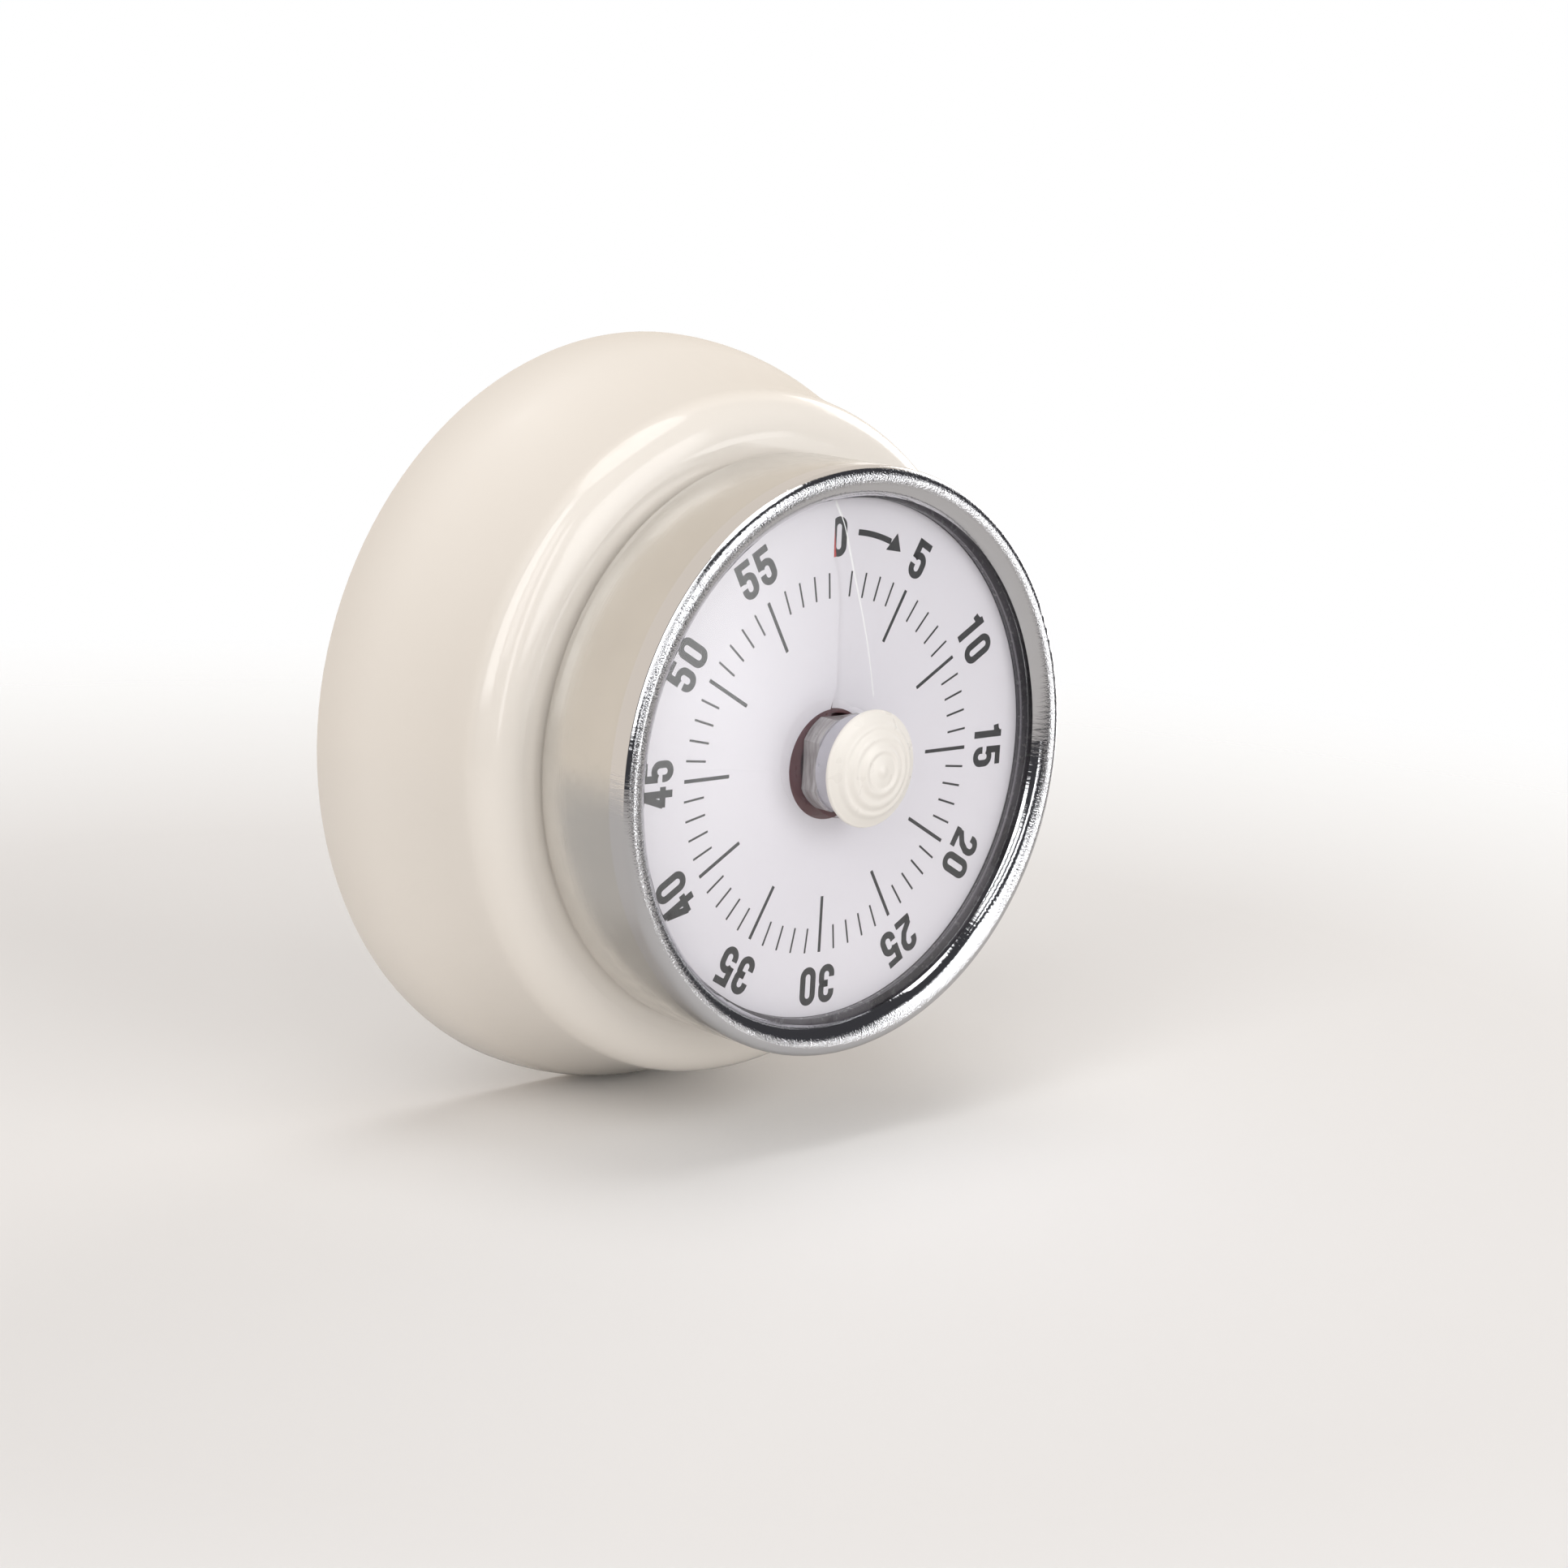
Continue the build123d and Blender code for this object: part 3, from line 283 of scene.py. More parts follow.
def cream_enamel():
    """Thick glossy enamel on pressed steel, clouded and slightly wavy."""
    glaze = {"Coat_Weight": 0.9, "Coat_Roughness": 0.05, "Coat_IOR": 1.5}
    finish = Finish("cream_enamel", Specular_IOR_Level=0.4, **glaze)
    cloud = finish.noise(0.03, detail=2.0)
    finish.colour(finish.blend(cloud, (0.80, 0.745, 0.675, 1), (0.84, 0.79, 0.725, 1)))
    finish.roughness(finish.spread(0.1, 0.30, 0.36))
    finish.bump(finish.noise(0.05, detail=1.0), 0.03)
    return finish.material


RIM_FOOT = DRUM_FRONT - 3.2
CREST_FOOT = DRUM_FRONT - 0.5


def polished_steel():
    """Steel sheet: a satin side with faint rings, and a polished rim, grainy along its crest and
    painted a little lighter than the side as a painted highlight.
    """
    finish = Finish("polished_steel", Metallic=1.0)
    height = finish.height()
    on_side = finish.between(height, RIM_FOOT, RIM_FOOT + 0.2, 1.0, 0.0)
    on_rim = finish.math("SUBTRACT", 1.0, on_side)
    on_crest = finish.between(height, CREST_FOOT, DRUM_FRONT - 0.1)
    cloud = finish.noise(0.12, detail=3.0)
    satin = finish.blend(cloud, (0.70, 0.69, 0.67, 1), (0.78, 0.77, 0.75, 1))
    # The rim's steel colour is a little lighter and cooler than the side's: a painted highlight along
    # the polished rim.
    finish.colour(finish.blend(on_side, (0.76, 0.76, 0.78, 1), satin))
    rings = finish.math("MULTIPLY", finish.turning(3.0, 1.5), 0.25)
    side_relief = finish.math("MULTIPLY", finish.math("ADD", rings, cloud), on_side)
    streaks = finish.math("MULTIPLY", finish.drawn(75.0, 0.35), 0.9)
    crest = finish.math("MULTIPLY", on_crest, 1.6)
    speckle = finish.math("MULTIPLY", finish.noise(5.0, detail=2.0), crest)
    rim_relief = finish.math("MULTIPLY", finish.math("ADD", streaks, speckle), on_rim)
    finish.bump(finish.math("ADD", side_relief, rim_relief), 0.03)
    brushed = finish.math("MULTIPLY", finish.spread(0.5, 0.10, 0.2), on_side)
    finish.roughness(finish.math("ADD", brushed, 0.06))
    return finish.material


def plated_steel(name, dark, light, rough):
    """Plated sheet steel, cloudy, with fine rolling marks."""
    finish = Finish(name, Metallic=1.0)
    finish.colour(finish.blend(finish.noise(0.25), dark, light))
    rolling = finish.noise(1.0, detail=4.0, vector=finish.stretched(6.0, 6.0, 0.4))
    finish.roughness(finish.between(rolling, 0.3, 0.7, rough - 0.08, rough + 0.08))
    finish.bump(rolling, 0.01)
    return finish.material


def turned_metal(name, dark, light, rough):
    """Turned or stamped bright metal, with rings and light tarnish."""
    finish = Finish(name, Metallic=1.0)
    finish.colour(finish.blend(finish.noise(0.35, detail=4.0), dark, light))
    finish.roughness(finish.spread(1.2, rough - 0.08, rough + 0.1))
    finish.bump(finish.turning(5.0, 0.8), 0.01)
    return finish.material


def plastic(name, dark, light, rough, grain):
    """Moulded plastic with a fine spark eroded grain of a depth in mm."""
    finish = Finish(name)
    finish.colour(finish.blend(finish.noise(0.15), dark, light))
    cloud = finish.noise(0.6, detail=1.0)
    finish.roughness(finish.between(cloud, 0.3, 0.7, rough - 0.03, rough + 0.03))
    finish.bump(finish.noise(2.5, detail=1.0), grain)
    return finish.material


def gasket_plastic():
    """Dark glossy plastic, moulded with fine steps between the dial and the lens."""
    finish = Finish("gasket_plastic", Specular_IOR_Level=0.6)
    steps = finish.noise(1.0, detail=2.0, vector=finish.stretched(0.02, 6.0, 0.02))
    banded = finish.between(steps, 0.35, 0.65)
    finish.colour(finish.blend(banded, (0.035, 0.033, 0.038, 1), (0.20, 0.19, 0.21, 1)))
    finish.roughness(finish.spread(1.5, 0.18, 0.3))
    finish.bump(steps, 0.05)
    return finish.material


def printed_card():
    """The dial's white printed plastic sheet."""
    finish = Finish("dial_sheet", Specular_IOR_Level=0.4)
    cloud = finish.noise(0.06, detail=2.0)
    finish.colour(finish.blend(cloud, (0.78, 0.76, 0.81, 1), (0.82, 0.80, 0.845, 1)))
    finish.roughness(finish.spread(1.5, 0.42, 0.55))
    finish.bump(finish.noise(3.0, detail=2.0), 0.003)
    return finish.material


def ink():
    """Dark printing ink, slightly thin in places."""
    finish = Finish("dial_ink")
    thin = finish.noise(2.5, detail=4.0)
    finish.colour(finish.blend(thin, (0.018, 0.018, 0.020, 1), (0.04, 0.04, 0.043, 1)))
    finish.roughness(finish.spread(3.0, 0.4, 0.55))
    return finish.material


def crease_gloss():
    """The stretched, glossier plastic along the crease, painted near white as a painted highlight."""
    finish = Finish("crease_gloss", Coat_Weight=0.8, Coat_Roughness=0.08)
    # The crease is painted near white, whiter than the dial: a painted highlight along it.
    finish.colour(finish.blend(finish.noise(0.8), (0.97, 0.97, 0.98, 1), (1.0, 1.0, 1.0, 1)))
    finish.roughness(finish.spread(1.5, 0.15, 0.3))
    return finish.material


def red_film():
    """Glossy red plastic film, painted dark round the knob as painted shade where it lies deep in the
    dial's hole.
    """
    finish = Finish("red_film", Coat_Weight=0.3, Coat_Roughness=0.1)
    # Within about 8 mm of the axis the red is painted dark, as painted shade inside the dial's hole.
    painted_shade = finish.between(finish.axis_radius(), 7.6, 8.4, 1.0, 0.0)
    shown = finish.blend(finish.noise(0.2), (0.40, 0.018, 0.015, 1), (0.50, 0.03, 0.025, 1))
    finish.colour(finish.blend(painted_shade, shown, (0.12, 0.045, 0.05, 1)))
    finish.roughness(finish.spread(1.0, 0.25, 0.4))
    finish.bump(finish.noise(0.5), 0.006)
    return finish.material


def clear_moulding():
    """Clear moulded plastic: milky and lilac towards the cap, with a greyer frosted foot."""
    finish = Finish("clear_moulding", Transmission_Weight=0.45, IOR=1.49)
    foot = finish.between(finish.height(), HUB_STEP - 0.15, HUB_STEP + 0.05, 1.0, 0.0)
    collar = finish.blend(finish.noise(0.4), (0.78, 0.76, 0.84, 1), (0.90, 0.88, 0.95, 1))
    streaks = finish.noise(1.0, detail=2.0, vector=finish.stretched(0.4, 2.5, 0.4))
    streaked = finish.between(streaks, 0.3, 0.7)
    frosted = finish.blend(streaked, (0.46, 0.43, 0.43, 1), (0.80, 0.77, 0.78, 1))
    finish.colour(finish.blend(foot, collar, frosted))
    finish.roughness(finish.between(finish.noise(0.5, detail=1.0), 0.3, 0.75, 0.12, 0.3))
    finish.bump(finish.noise(1.0, detail=1.0, vector=finish.stretched(0.5, 0.15, 0.5)), 0.03)
    return finish.material


LENS_GLAZE = 1.7
LENS_MILK = 0.01


def clear_sheet():
    """The thin clear lens: it lets light straight through, and shines by its angle."""
    finish = Finish("lens_plastic", Specular_IOR_Level=0.5)
    finish.colour(finish.blend(finish.noise(0.2), (0.9, 0.9, 0.92, 1), (1, 1, 1, 1)))
    finish.roughness(finish.spread(0.3, 0.02, 0.05))
    smear = finish.noise(0.12, detail=4.0)
    edge = finish.add("ShaderNodeFresnel", IOR=LENS_GLAZE)
    gloss = finish.add("ShaderNodeBsdfGlossy", Roughness=0.02)
    clear = finish.add("ShaderNodeBsdfTransparent")
    inside = finish.new("ShaderNodeNewGeometry").outputs["Backfacing"]
    shine = finish.math("MULTIPLY", edge.outputs["Fac"], finish.math("SUBTRACT", 1.0, inside))
    sheet = finish.add("ShaderNodeMixShader", Fac=shine)
    finish.feed(sheet.inputs[1], clear.outputs["BSDF"])
    finish.feed(sheet.inputs[2], gloss.outputs["BSDF"])
    smeared = finish.between(smear, 0.3, 0.8, LENS_MILK * 0.5, LENS_MILK * 1.5)
    haze = finish.add("ShaderNodeMixShader", Fac=smeared)
    finish.feed(haze.inputs[1], sheet.outputs["Shader"])
    finish.feed(haze.inputs[2], finish.shader.outputs["BSDF"])
    output = finish.tree.nodes["Material Output"]
    finish.feed(output.inputs["Surface"], haze.outputs["Shader"])
    return finish.material


CREAM = ((0.78, 0.74, 0.685, 1), (0.81, 0.775, 0.72, 1))
WHITE = ((0.66, 0.65, 0.66, 1), (0.75, 0.74, 0.75, 1))
ZINC = ((0.42, 0.43, 0.44, 1), (0.60, 0.61, 0.62, 1))
BLUED = ((0.20, 0.21, 0.24, 1), (0.34, 0.35, 0.38, 1))
BRASS = ((0.52, 0.36, 0.13, 1), (0.72, 0.54, 0.24, 1))
GREY = ((0.50, 0.50, 0.50, 1), (0.66, 0.65, 0.63, 1))

finishes = {
    "cream_enamel": cream_enamel(),
    "polished_steel": polished_steel(),
    "zinc_steel": plated_steel("zinc_steel", *ZINC, rough=0.3),
    "brass": turned_metal("brass", *BRASS, rough=0.25),
    "clear_plastic": clear_sheet(),
    "printed_dial": printed_card(),
    "red_foil": red_film(),
    "cream_plastic": plastic("cream_plastic", *CREAM, rough=0.3, grain=0.0002),
    "dark_rubber": gasket_plastic(),
    "white_plastic": plastic("white_plastic", *WHITE, rough=0.4, grain=0.004),
    "spring_steel": plated_steel("spring_steel", *BLUED, rough=0.25),
    "gong_steel": turned_metal("gong_steel", *GREY, rough=0.2),
}

# Each node of the frame takes the finish of its material slot.
for subpart in frame["record"]["subparts"]:
    for material_slot in frame["nodes"][subpart["node"]].material_slots:
        material_slot.material = finishes[subpart["material_slot"]]

# ---------------------------------------------------------------- dial and red disc
# Both sheets climb steadily once round the axis, so that the red one winds out through the dial's
# slit and lies in front of it wherever the knob has turned past.
CLIMB = 0.42
SHEET = 0.008
RED_BELOW = 0.016
SLIT_JOG_RADIUS = 8.6
# The slit wanders a little from a radius: each is (radius, degrees anticlockwise from the top).
SLIT = (
    (6.6, 5.3),
    (8.6, 4.0),
    (13.0, 3.3),
    (19.0, 2.95),
    (22.6, 4.1),
    (24.2, 5.5),
    (28.0, 4.95),
    (31.0, 4.7),
)
# The dial's hole and print sit off the knob's axis.
DIAL_CENTRE = (-0.80, -0.40)
dial_low = DIAL_FACE - CLIMB / 2


def slit_angle(radius):
    """How far the slit lies anticlockwise from the top at a radius, in degrees."""
    for (inner, before), (outer, after) in zip(SLIT, SLIT[1:]):
        if radius < outer:
            return before + (after - before) * max(0.0, radius - inner) / (outer - inner)
    return SLIT[-1][1]


def dial_height(x, z):
    """The height of the dial's face at a point in mm."""
    clockwise = 90 - degrees(atan2(z, x))
    return dial_low + CLIMB * ((clockwise + slit_angle(hypot(x, z))) % 360) / 360


def dial_shift(radius):
    """How far a ring of the dial moves across, up and round in degrees, to put its hole off centre."""
    share = max(0.0, (SLIT_JOG_RADIUS - radius) / (SLIT_JOG_RADIUS - DIAL_HOLE_RADIUS))
    return DIAL_CENTRE[0] * share, DIAL_CENTRE[1] * share, 0.0


def red_shift(radius):
    """The same for the red sheet. It only goes round, so that its ends stay at the dial's slit."""
    reach = SLIT_JOG_RADIUS - DIAL_HOLE_RADIUS - DIAL_CENTRE[1]
    share = min(1.0, max(0.0, (SLIT_JOG_RADIUS - radius) / reach))
    return 0.0, 0.0, degrees(-DIAL_CENTRE[0] * share / radius)


def wound_sheet(name, radii, level, overhang, shift, body, slot, steps=360):
    """A thin sheet that climbs once round the axis, cut along the slit.

    level(radius, turn) is the height of its top, overhang(radius) the degrees by which its last
    end reaches past the slit, and shift(radius) how far each ring moves across, up and round.
    """
    vertices, faces = [], []
    rows = len(radii)
    for step in range(steps + 1):
        turn = step / steps
        for radius in radii:
            extra = overhang(radius) if step == steps else 0.0
            angle = 90 + slit_angle(radius) - 360 * turn - extra
            across, up, turned = shift(radius)
            x = radius * cos(radians(angle + turned)) + across
            z = radius * sin(radians(angle + turned)) + up
            # The height goes with where the shifted point lies from the slit.
            carried = (angle - degrees(atan2(z, x)) + 180) % 360 - 180
            carried += slit_angle(hypot(x, z)) - slit_angle(radius)
            top = level(radius, turn + carried / 360)
            vertices += [(x, -top, z), (x, SHEET - top, z)]

    def at(step, row, below):
        return 2 * (step * rows + row) + below

    def face(*corners):
        faces.append([at(*corner) for corner in corners])

    for step in range(steps):
        ahead = step + 1
        for row in range(rows - 1):
            for below in (0, 1):
                inner, outer = (row, below), (row + 1, below)
                face((step, *inner), (ahead, *inner), (ahead, *outer), (step, *outer))
        for row in (0, rows - 1):
            face((step, row, 0), (ahead, row, 0), (ahead, row, 1), (step, row, 1))
    for step in (0, steps):
        for row in range(rows - 1):
            face((step, row, 0), (step, row + 1, 0), (step, row + 1, 1), (step, row, 1))
    return solid(name, vertices, faces, body, finishes[slot])


dial_radii = (
    between(DIAL_HOLE_RADIUS, SLIT_JOG_RADIUS, 5)
    + between(SLIT_JOG_RADIUS, DIAL_WINDOW_RADIUS, 24)[1:]
)
dial_sheet = wound_sheet(
    "dial_sheet",
    dial_radii,
    lambda radius, turn: dial_low + CLIMB * turn,
    lambda radius: 0.0,
    dial_shift,
    CASE,
    "printed_dial",
)
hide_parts("dial")

# Inside RED_DIP the red sheet lies on its collar, and outside RED_RISEN it follows the dial.
RED_LOW = DISC_TOP - 0.02
RED_DIP = 5.15
RED_RISEN = 5.6
# Between these two radii its leading corner reaches out of the slit.
CORNER_LOW = 24.2
CORNER_HIGH = 27.8
CORNER_REACH = 0.42


def red_level(radius, turn):
    """The red sheet climbs just under the dial, and dips to its collar inside the dial's hole."""
    wound = dial_low + CLIMB * turn - RED_BELOW
    share = min(1.0, max(0.0, (radius - RED_DIP) / (RED_RISEN - RED_DIP)))
    return RED_LOW + (wound - RED_LOW) * share


def red_corner(radius):
    """The degrees by which the leading corner of the red sheet pokes out of the slit."""
    if not CORNER_LOW <= radius <= CORNER_HIGH:
        return 0.0
    return degrees(CORNER_REACH * (CORNER_HIGH - radius) / (CORNER_HIGH - CORNER_LOW) / radius)


red_radii = (
    between(ARBOR_RADIUS, RED_DIP, 5)
    + between(RED_DIP, RED_RISEN, 4)[1:]
    + between(RED_RISEN, SLIT_JOG_RADIUS, 3)[1:]
    + between(SLIT_JOG_RADIUS, CORNER_LOW - 0.02, 16)[1:]
    + between(CORNER_LOW, CORNER_HIGH, 6)
    + between(CORNER_HIGH, DISC_RADIUS, 3)[1:]
)
red_sheet = wound_sheet(
    "red_sheet",
    red_radii,
    red_level,
    red_corner,
    red_shift,
    SETTING,
    "red_foil",
)
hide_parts("red_disc")

# ---------------------------------------------------------------- printing on the dial
# The print after the slit stops this many degrees short of it, up to this many minutes from it.
SLIT_MARGIN = 0.08
CLIPPED = 5
# The film is drawn together at its top, and the print near there drifts towards it. Each is
# (minutes from the top with the full drift, minutes from the top with none, drift in minutes).
DRAWN_AFTER = (5.0, 9.0, -0.16)
DRAWN_BEFORE = (4.0, 5.0, 0.14)
INK_ABOVE = 0.006
INK_THICKNESS = 0.005
ink_finish = ink()


def printed(minute, across, out):
    """A point of the print in mm: across is clockwise from a minute, out is from the middle."""
    after = minute < 30
    away = minute if after else 60 - minute
    full, gone, drawn = DRAWN_AFTER if after else DRAWN_BEFORE
    share = max(0.0, min(1.0, (gone - away) / (gone - full)))
    turn = radians(6 * (minute + drawn * share))
    x = DIAL_CENTRE[0] + out * sin(turn) + across * cos(turn)
    z = DIAL_CENTRE[1] + out * cos(turn) - across * sin(turn)
    lead = (90 - degrees(atan2(z, x)) + slit_angle(hypot(x, z)) + 180) % 360 - 180
    if away < CLIPPED and after and lead < SLIT_MARGIN:
        angle = atan2(z, x) + radians(lead - SLIT_MARGIN)
        x, z = hypot(x, z) * cos(angle), hypot(x, z) * sin(angle)
    return x, z


def strip(points, width):
    """The left and right edge of a stroke along a path, with mitred corners."""
    closed = hypot(points[0][0] - points[-1][0], points[0][1] - points[-1][1]) < SAME_POINT
    path = points[:-1] if closed else points
    edges = []
    for i, (x, y) in enumerate(path):
        before = path[i - 1] if (i or closed) else None
        after = path[(i + 1) % len(path)] if (i < len(path) - 1 or closed) else None
        normals = []
        for a, b in ((before, (x, y)), ((x, y), after)):
            if a and b:
                length = hypot(b[0] - a[0], b[1] - a[1])
                normals.append(((a[1] - b[1]) / length, (b[0] - a[0]) / length))
        nx = sum(n[0] for n in normals) / len(normals)
        ny = sum(n[1] for n in normals) / len(normals)
        stretch = width / 2 / (nx * nx + ny * ny)
        edges.append(((x + nx * stretch, y + ny * stretch), (x - nx * stretch, y - ny * stretch)))
    return edges + edges[:1] if closed else edges


def print_strokes(name, strokes):
    """Thin raised ink. A stroke is a function from local to dial points and a list of edge pairs."""
    vertices, faces = [], []
    for onto, edges in strokes:
        first = len(vertices)
        for pair in edges:
            for across, out in pair:
                x, z = onto(across, out)
                top = dial_height(x, z) + INK_ABOVE
                vertices.append((x, -top, z))
                vertices.append((x, INK_THICKNESS - top, z))
        for i in range(len(edges) - 1):
            a = first + 4 * i
            b = a + 4
            faces += [(a, b, b + 2, a + 2), (a + 1, b + 1, b + 3, a + 3), (a, b, b + 1, a + 1)]
            faces += [(a + 2, b + 2, b + 3, a + 3)]
        last = first + 4 * (len(edges) - 1)
        if edges[0] != edges[-1]:
            faces += [(first, first + 1, first + 3, first + 2), (last, last + 1, last + 3, last + 2)]
    return solid(name, vertices, faces, CASE, ink_finish)


def at_minute(minute, shift=0.0, base=0.0):
    """A function from local points to dial points, upright at a minute of the dial."""
    return lambda across, out: printed(minute, across + shift, out + base)


# Numerals are bold condensed strokes. Their box is measured on the strokes' middle lines.
STROKE = 0.86
HALF = 0.82
TALL = 3.86
MIDDLE = TALL / 2
SMALL = 0.48
HOOK = 0.35
DIGIT_BASE = 24.86
DIGIT_PITCH = 3.05
DIGITS = {
    "0": [arc(0, TALL - HALF, HALF, 0, 180) + arc(0, HALF, HALF, 180, 360) + [(HALF, TALL - HALF)]],
    "1": [
        [(0.25, -STROKE / 2), (0.25, TALL + STROKE / 2)],
        [(-0.85, TALL - 0.55), (-0.3, TALL - 0.45), (0.25, TALL - 0.1)],
    ],
    "2": [
        [(-HALF, TALL - HALF - HOOK)] + arc(0, TALL - HALF, HALF, 180, 0)
        + [(HALF, TALL - HALF - 0.5), (0.3, 1.5), (-HALF + 0.1, 0.7), (-HALF + 0.1, 0)],
        [(-HALF - STROKE / 2, 0), (HALF + STROKE / 2, 0)],
    ],
    "3": [
        [(-HALF, TALL - HALF - HOOK)] + arc(0, TALL - HALF, HALF, 180, 0)
        + arc(HALF - SMALL, MIDDLE + SMALL, SMALL, 0, -90, 5) + [(-0.25, MIDDLE)],
        [(-0.25, MIDDLE)] + arc(HALF - SMALL, MIDDLE - SMALL, SMALL, 90, 0, 5)
        + arc(0, HALF, HALF, 0, -180) + [(-HALF, HALF + HOOK)],
    ],
    "4": [
        [(0.42, -STROKE / 2), (0.42, TALL + STROKE / 2)],
        [(-HALF - 0.3, 1.0), (HALF + 0.45, 1.0)],
        [(0.2, TALL + 0.1), (-HALF - 0.02, 0.9)],
    ],
    "5": [
        [(-HALF + 0.02, TALL), (HALF + 0.25, TALL)],
        [(-HALF + 0.02, TALL + STROKE / 2), (-HALF - 0.02, MIDDLE - 0.1)],
        [(-HALF + 0.05, MIDDLE - 0.1)] + arc(0, MIDDLE - 0.35, HALF, 150, 0)
        + arc(0, HALF, HALF, 0, -180) + [(-HALF, HALF + HOOK)],
    ],
}
numerals = []
for minute in range(0, 60, 5):
    figures = str(minute)
    for place, figure in enumerate(figures):
        shift = (place - (len(figures) - 1) / 2) * DIGIT_PITCH
        for path in DIGITS[figure]:
            numerals.append((at_minute(minute, shift, DIGIT_BASE), strip(path, STROKE)))
print_strokes("dial_numerals", numerals)

TICK_OUTER = 22.75
SHORT_TICK = 3.0
LONG_TICK = 6.8
SHORT_WIDTH = 0.26
LONG_WIDTH = 0.44
ticks = []
for minute in range(1, 60):
    length, width = (LONG_TICK, LONG_WIDTH) if minute % 5 == 0 else (SHORT_TICK, SHORT_WIDTH)
    path = [(0.0, out) for out in between(TICK_OUTER - length, TICK_OUTER, 3)]
    ticks.append((at_minute(minute), strip(path, width)))
print_strokes("dial_ticks", ticks)

# The arrow bends in a little from a true arc round the dial. Its places are (out from its radius,
# minute).
ARROW_RADIUS = 27.3
ARROW_START = 1.09
ARROW_NECK = 3.06
ARROW_SAG = 0.25
ARROW_WIDTH = 0.72
ARROW_HEAD = ((1.0, 3.29), (-1.35, 2.88))
ARROW_TIP = (-0.90, 3.76)
TIP_HALF = 0.01


def round_print(across, minute):
    """Print coordinates wrapped round the dial."""
    return printed(minute, 0.0, ARROW_RADIUS + across)


shaft_edges = []
for minute in between(ARROW_START, ARROW_NECK, 12):
    sag = -ARROW_SAG * ((minute - ARROW_START) / (ARROW_NECK - ARROW_START)) ** 2
    shaft_edges.append(((sag + ARROW_WIDTH / 2, minute), (sag - ARROW_WIDTH / 2, minute)))
tip_out, tip_minute = ARROW_TIP
head_edges = [ARROW_HEAD, ((tip_out + TIP_HALF, tip_minute), (tip_out - TIP_HALF, tip_minute))]
print_strokes("dial_arrow", [(round_print, shaft_edges), (round_print, head_edges)])

# A crease runs down the dial beside the slit, and catches the light along its edge; its near white
# colour is a painted highlight.
# Its points are (x, z) from the rim towards the knob.
CREASE = (
    (-2.2, 30.6),
    (-0.65, 28.4),
    (0.3, 25.6),
    (1.95, 20.9),
    (3.65, 16.0),
    (4.95, 11.6),
    (5.9, 7.0),
)
CREASE_WIDTH = 0.36
CREASE_TAPER = 0.6
CREASE_HEIGHT = 0.009
CREASE_EDGE = 0.002
CREASE_STEPS = 5


def crease_line():
    """Points on a smooth line along the crease's points."""
    curve = bpy.data.curves.new("crease_line", "CURVE")
    spline = curve.splines.new("NURBS")
    spline.points.add(len(CREASE) - 1)
    for point, (x, z) in zip(spline.points, CREASE):
        point.co = (x, 0.0, z, 1.0)
    spline.order_u = 3
    spline.use_endpoint_u = True
    spline.resolution_u = CREASE_STEPS
    holder = bpy.data.objects.new("crease_line", curve)
    mesh = bpy.data.meshes.new_from_object(holder)
    points = [(vertex.co.x, vertex.co.z) for vertex in mesh.vertices]
    bpy.data.objects.remove(holder)
    bpy.data.meshes.remove(mesh)
    return points


def make_crease():
    """A low ridge with a sharp top, wide at the rim and narrower towards the knob."""
    line = crease_line()
    vertices, faces = [], []
    for i, (x, z) in enumerate(line):
        after, before = line[min(i + 1, len(line) - 1)], line[max(i - 1, 0)]
        run = Vector((after[0] - before[0], after[1] - before[1])).normalized()
        half = CREASE_WIDTH / 2 * (1 - CREASE_TAPER * i / (len(line) - 1))
        section = ((-half, CREASE_EDGE), (0.0, CREASE_HEIGHT), (half, CREASE_EDGE), (0.0, 0.0))
        for side, lift in section:
            px, pz = x - run.y * side, z + run.x * side
            vertices.append((px, -dial_height(px, pz) - lift, pz))
    for i in range(len(line) - 1):
        for k in range(4):
            a, b = 4 * i + k, 4 * i + (k + 1) % 4
            faces.append((a, b, b + 4, a + 4))
    last = 4 * (len(line) - 1)
    faces += [(3, 2, 1, 0), (last, last + 1, last + 2, last + 3)]
    return solid("dial_crease", vertices, faces, CASE, crease_gloss(), sharp=20.0)


make_crease()

# ---------------------------------------------------------------- knob cap
STEM_INNER = 2.1
STEM_OUTER = 2.6
CAP_REAR = DRUM_FRONT + 1.9
CAP_EDGE = DRUM_FRONT + 2.4
CAP_CROWN = CAP_FRONT - CAP_EDGE
CAP_CURVE = (CAP_RADIUS ** 2 + CAP_CROWN ** 2) / (2 * CAP_CROWN)
# The rings on the cap: each is (radius, half width).
RIDGES = ((0.0, 1.0), (2.6, 0.7), (4.1, 0.75), (5.35, 0.65))
RIDGE_HEIGHT = 0.2


def cap_face(radius):
    """The height of the cap's domed front at a radius, with its soft rings."""
    face = CAP_FRONT - RIDGE_HEIGHT - CAP_CURVE + (CAP_CURVE ** 2 - radius ** 2) ** 0.5
    for middle, width in RIDGES:
        reach = abs(radius - middle) / width
        if reach < 1:
            face += RIDGE_HEIGHT * (0.5 + 0.5 * cos(pi * reach))
    return face


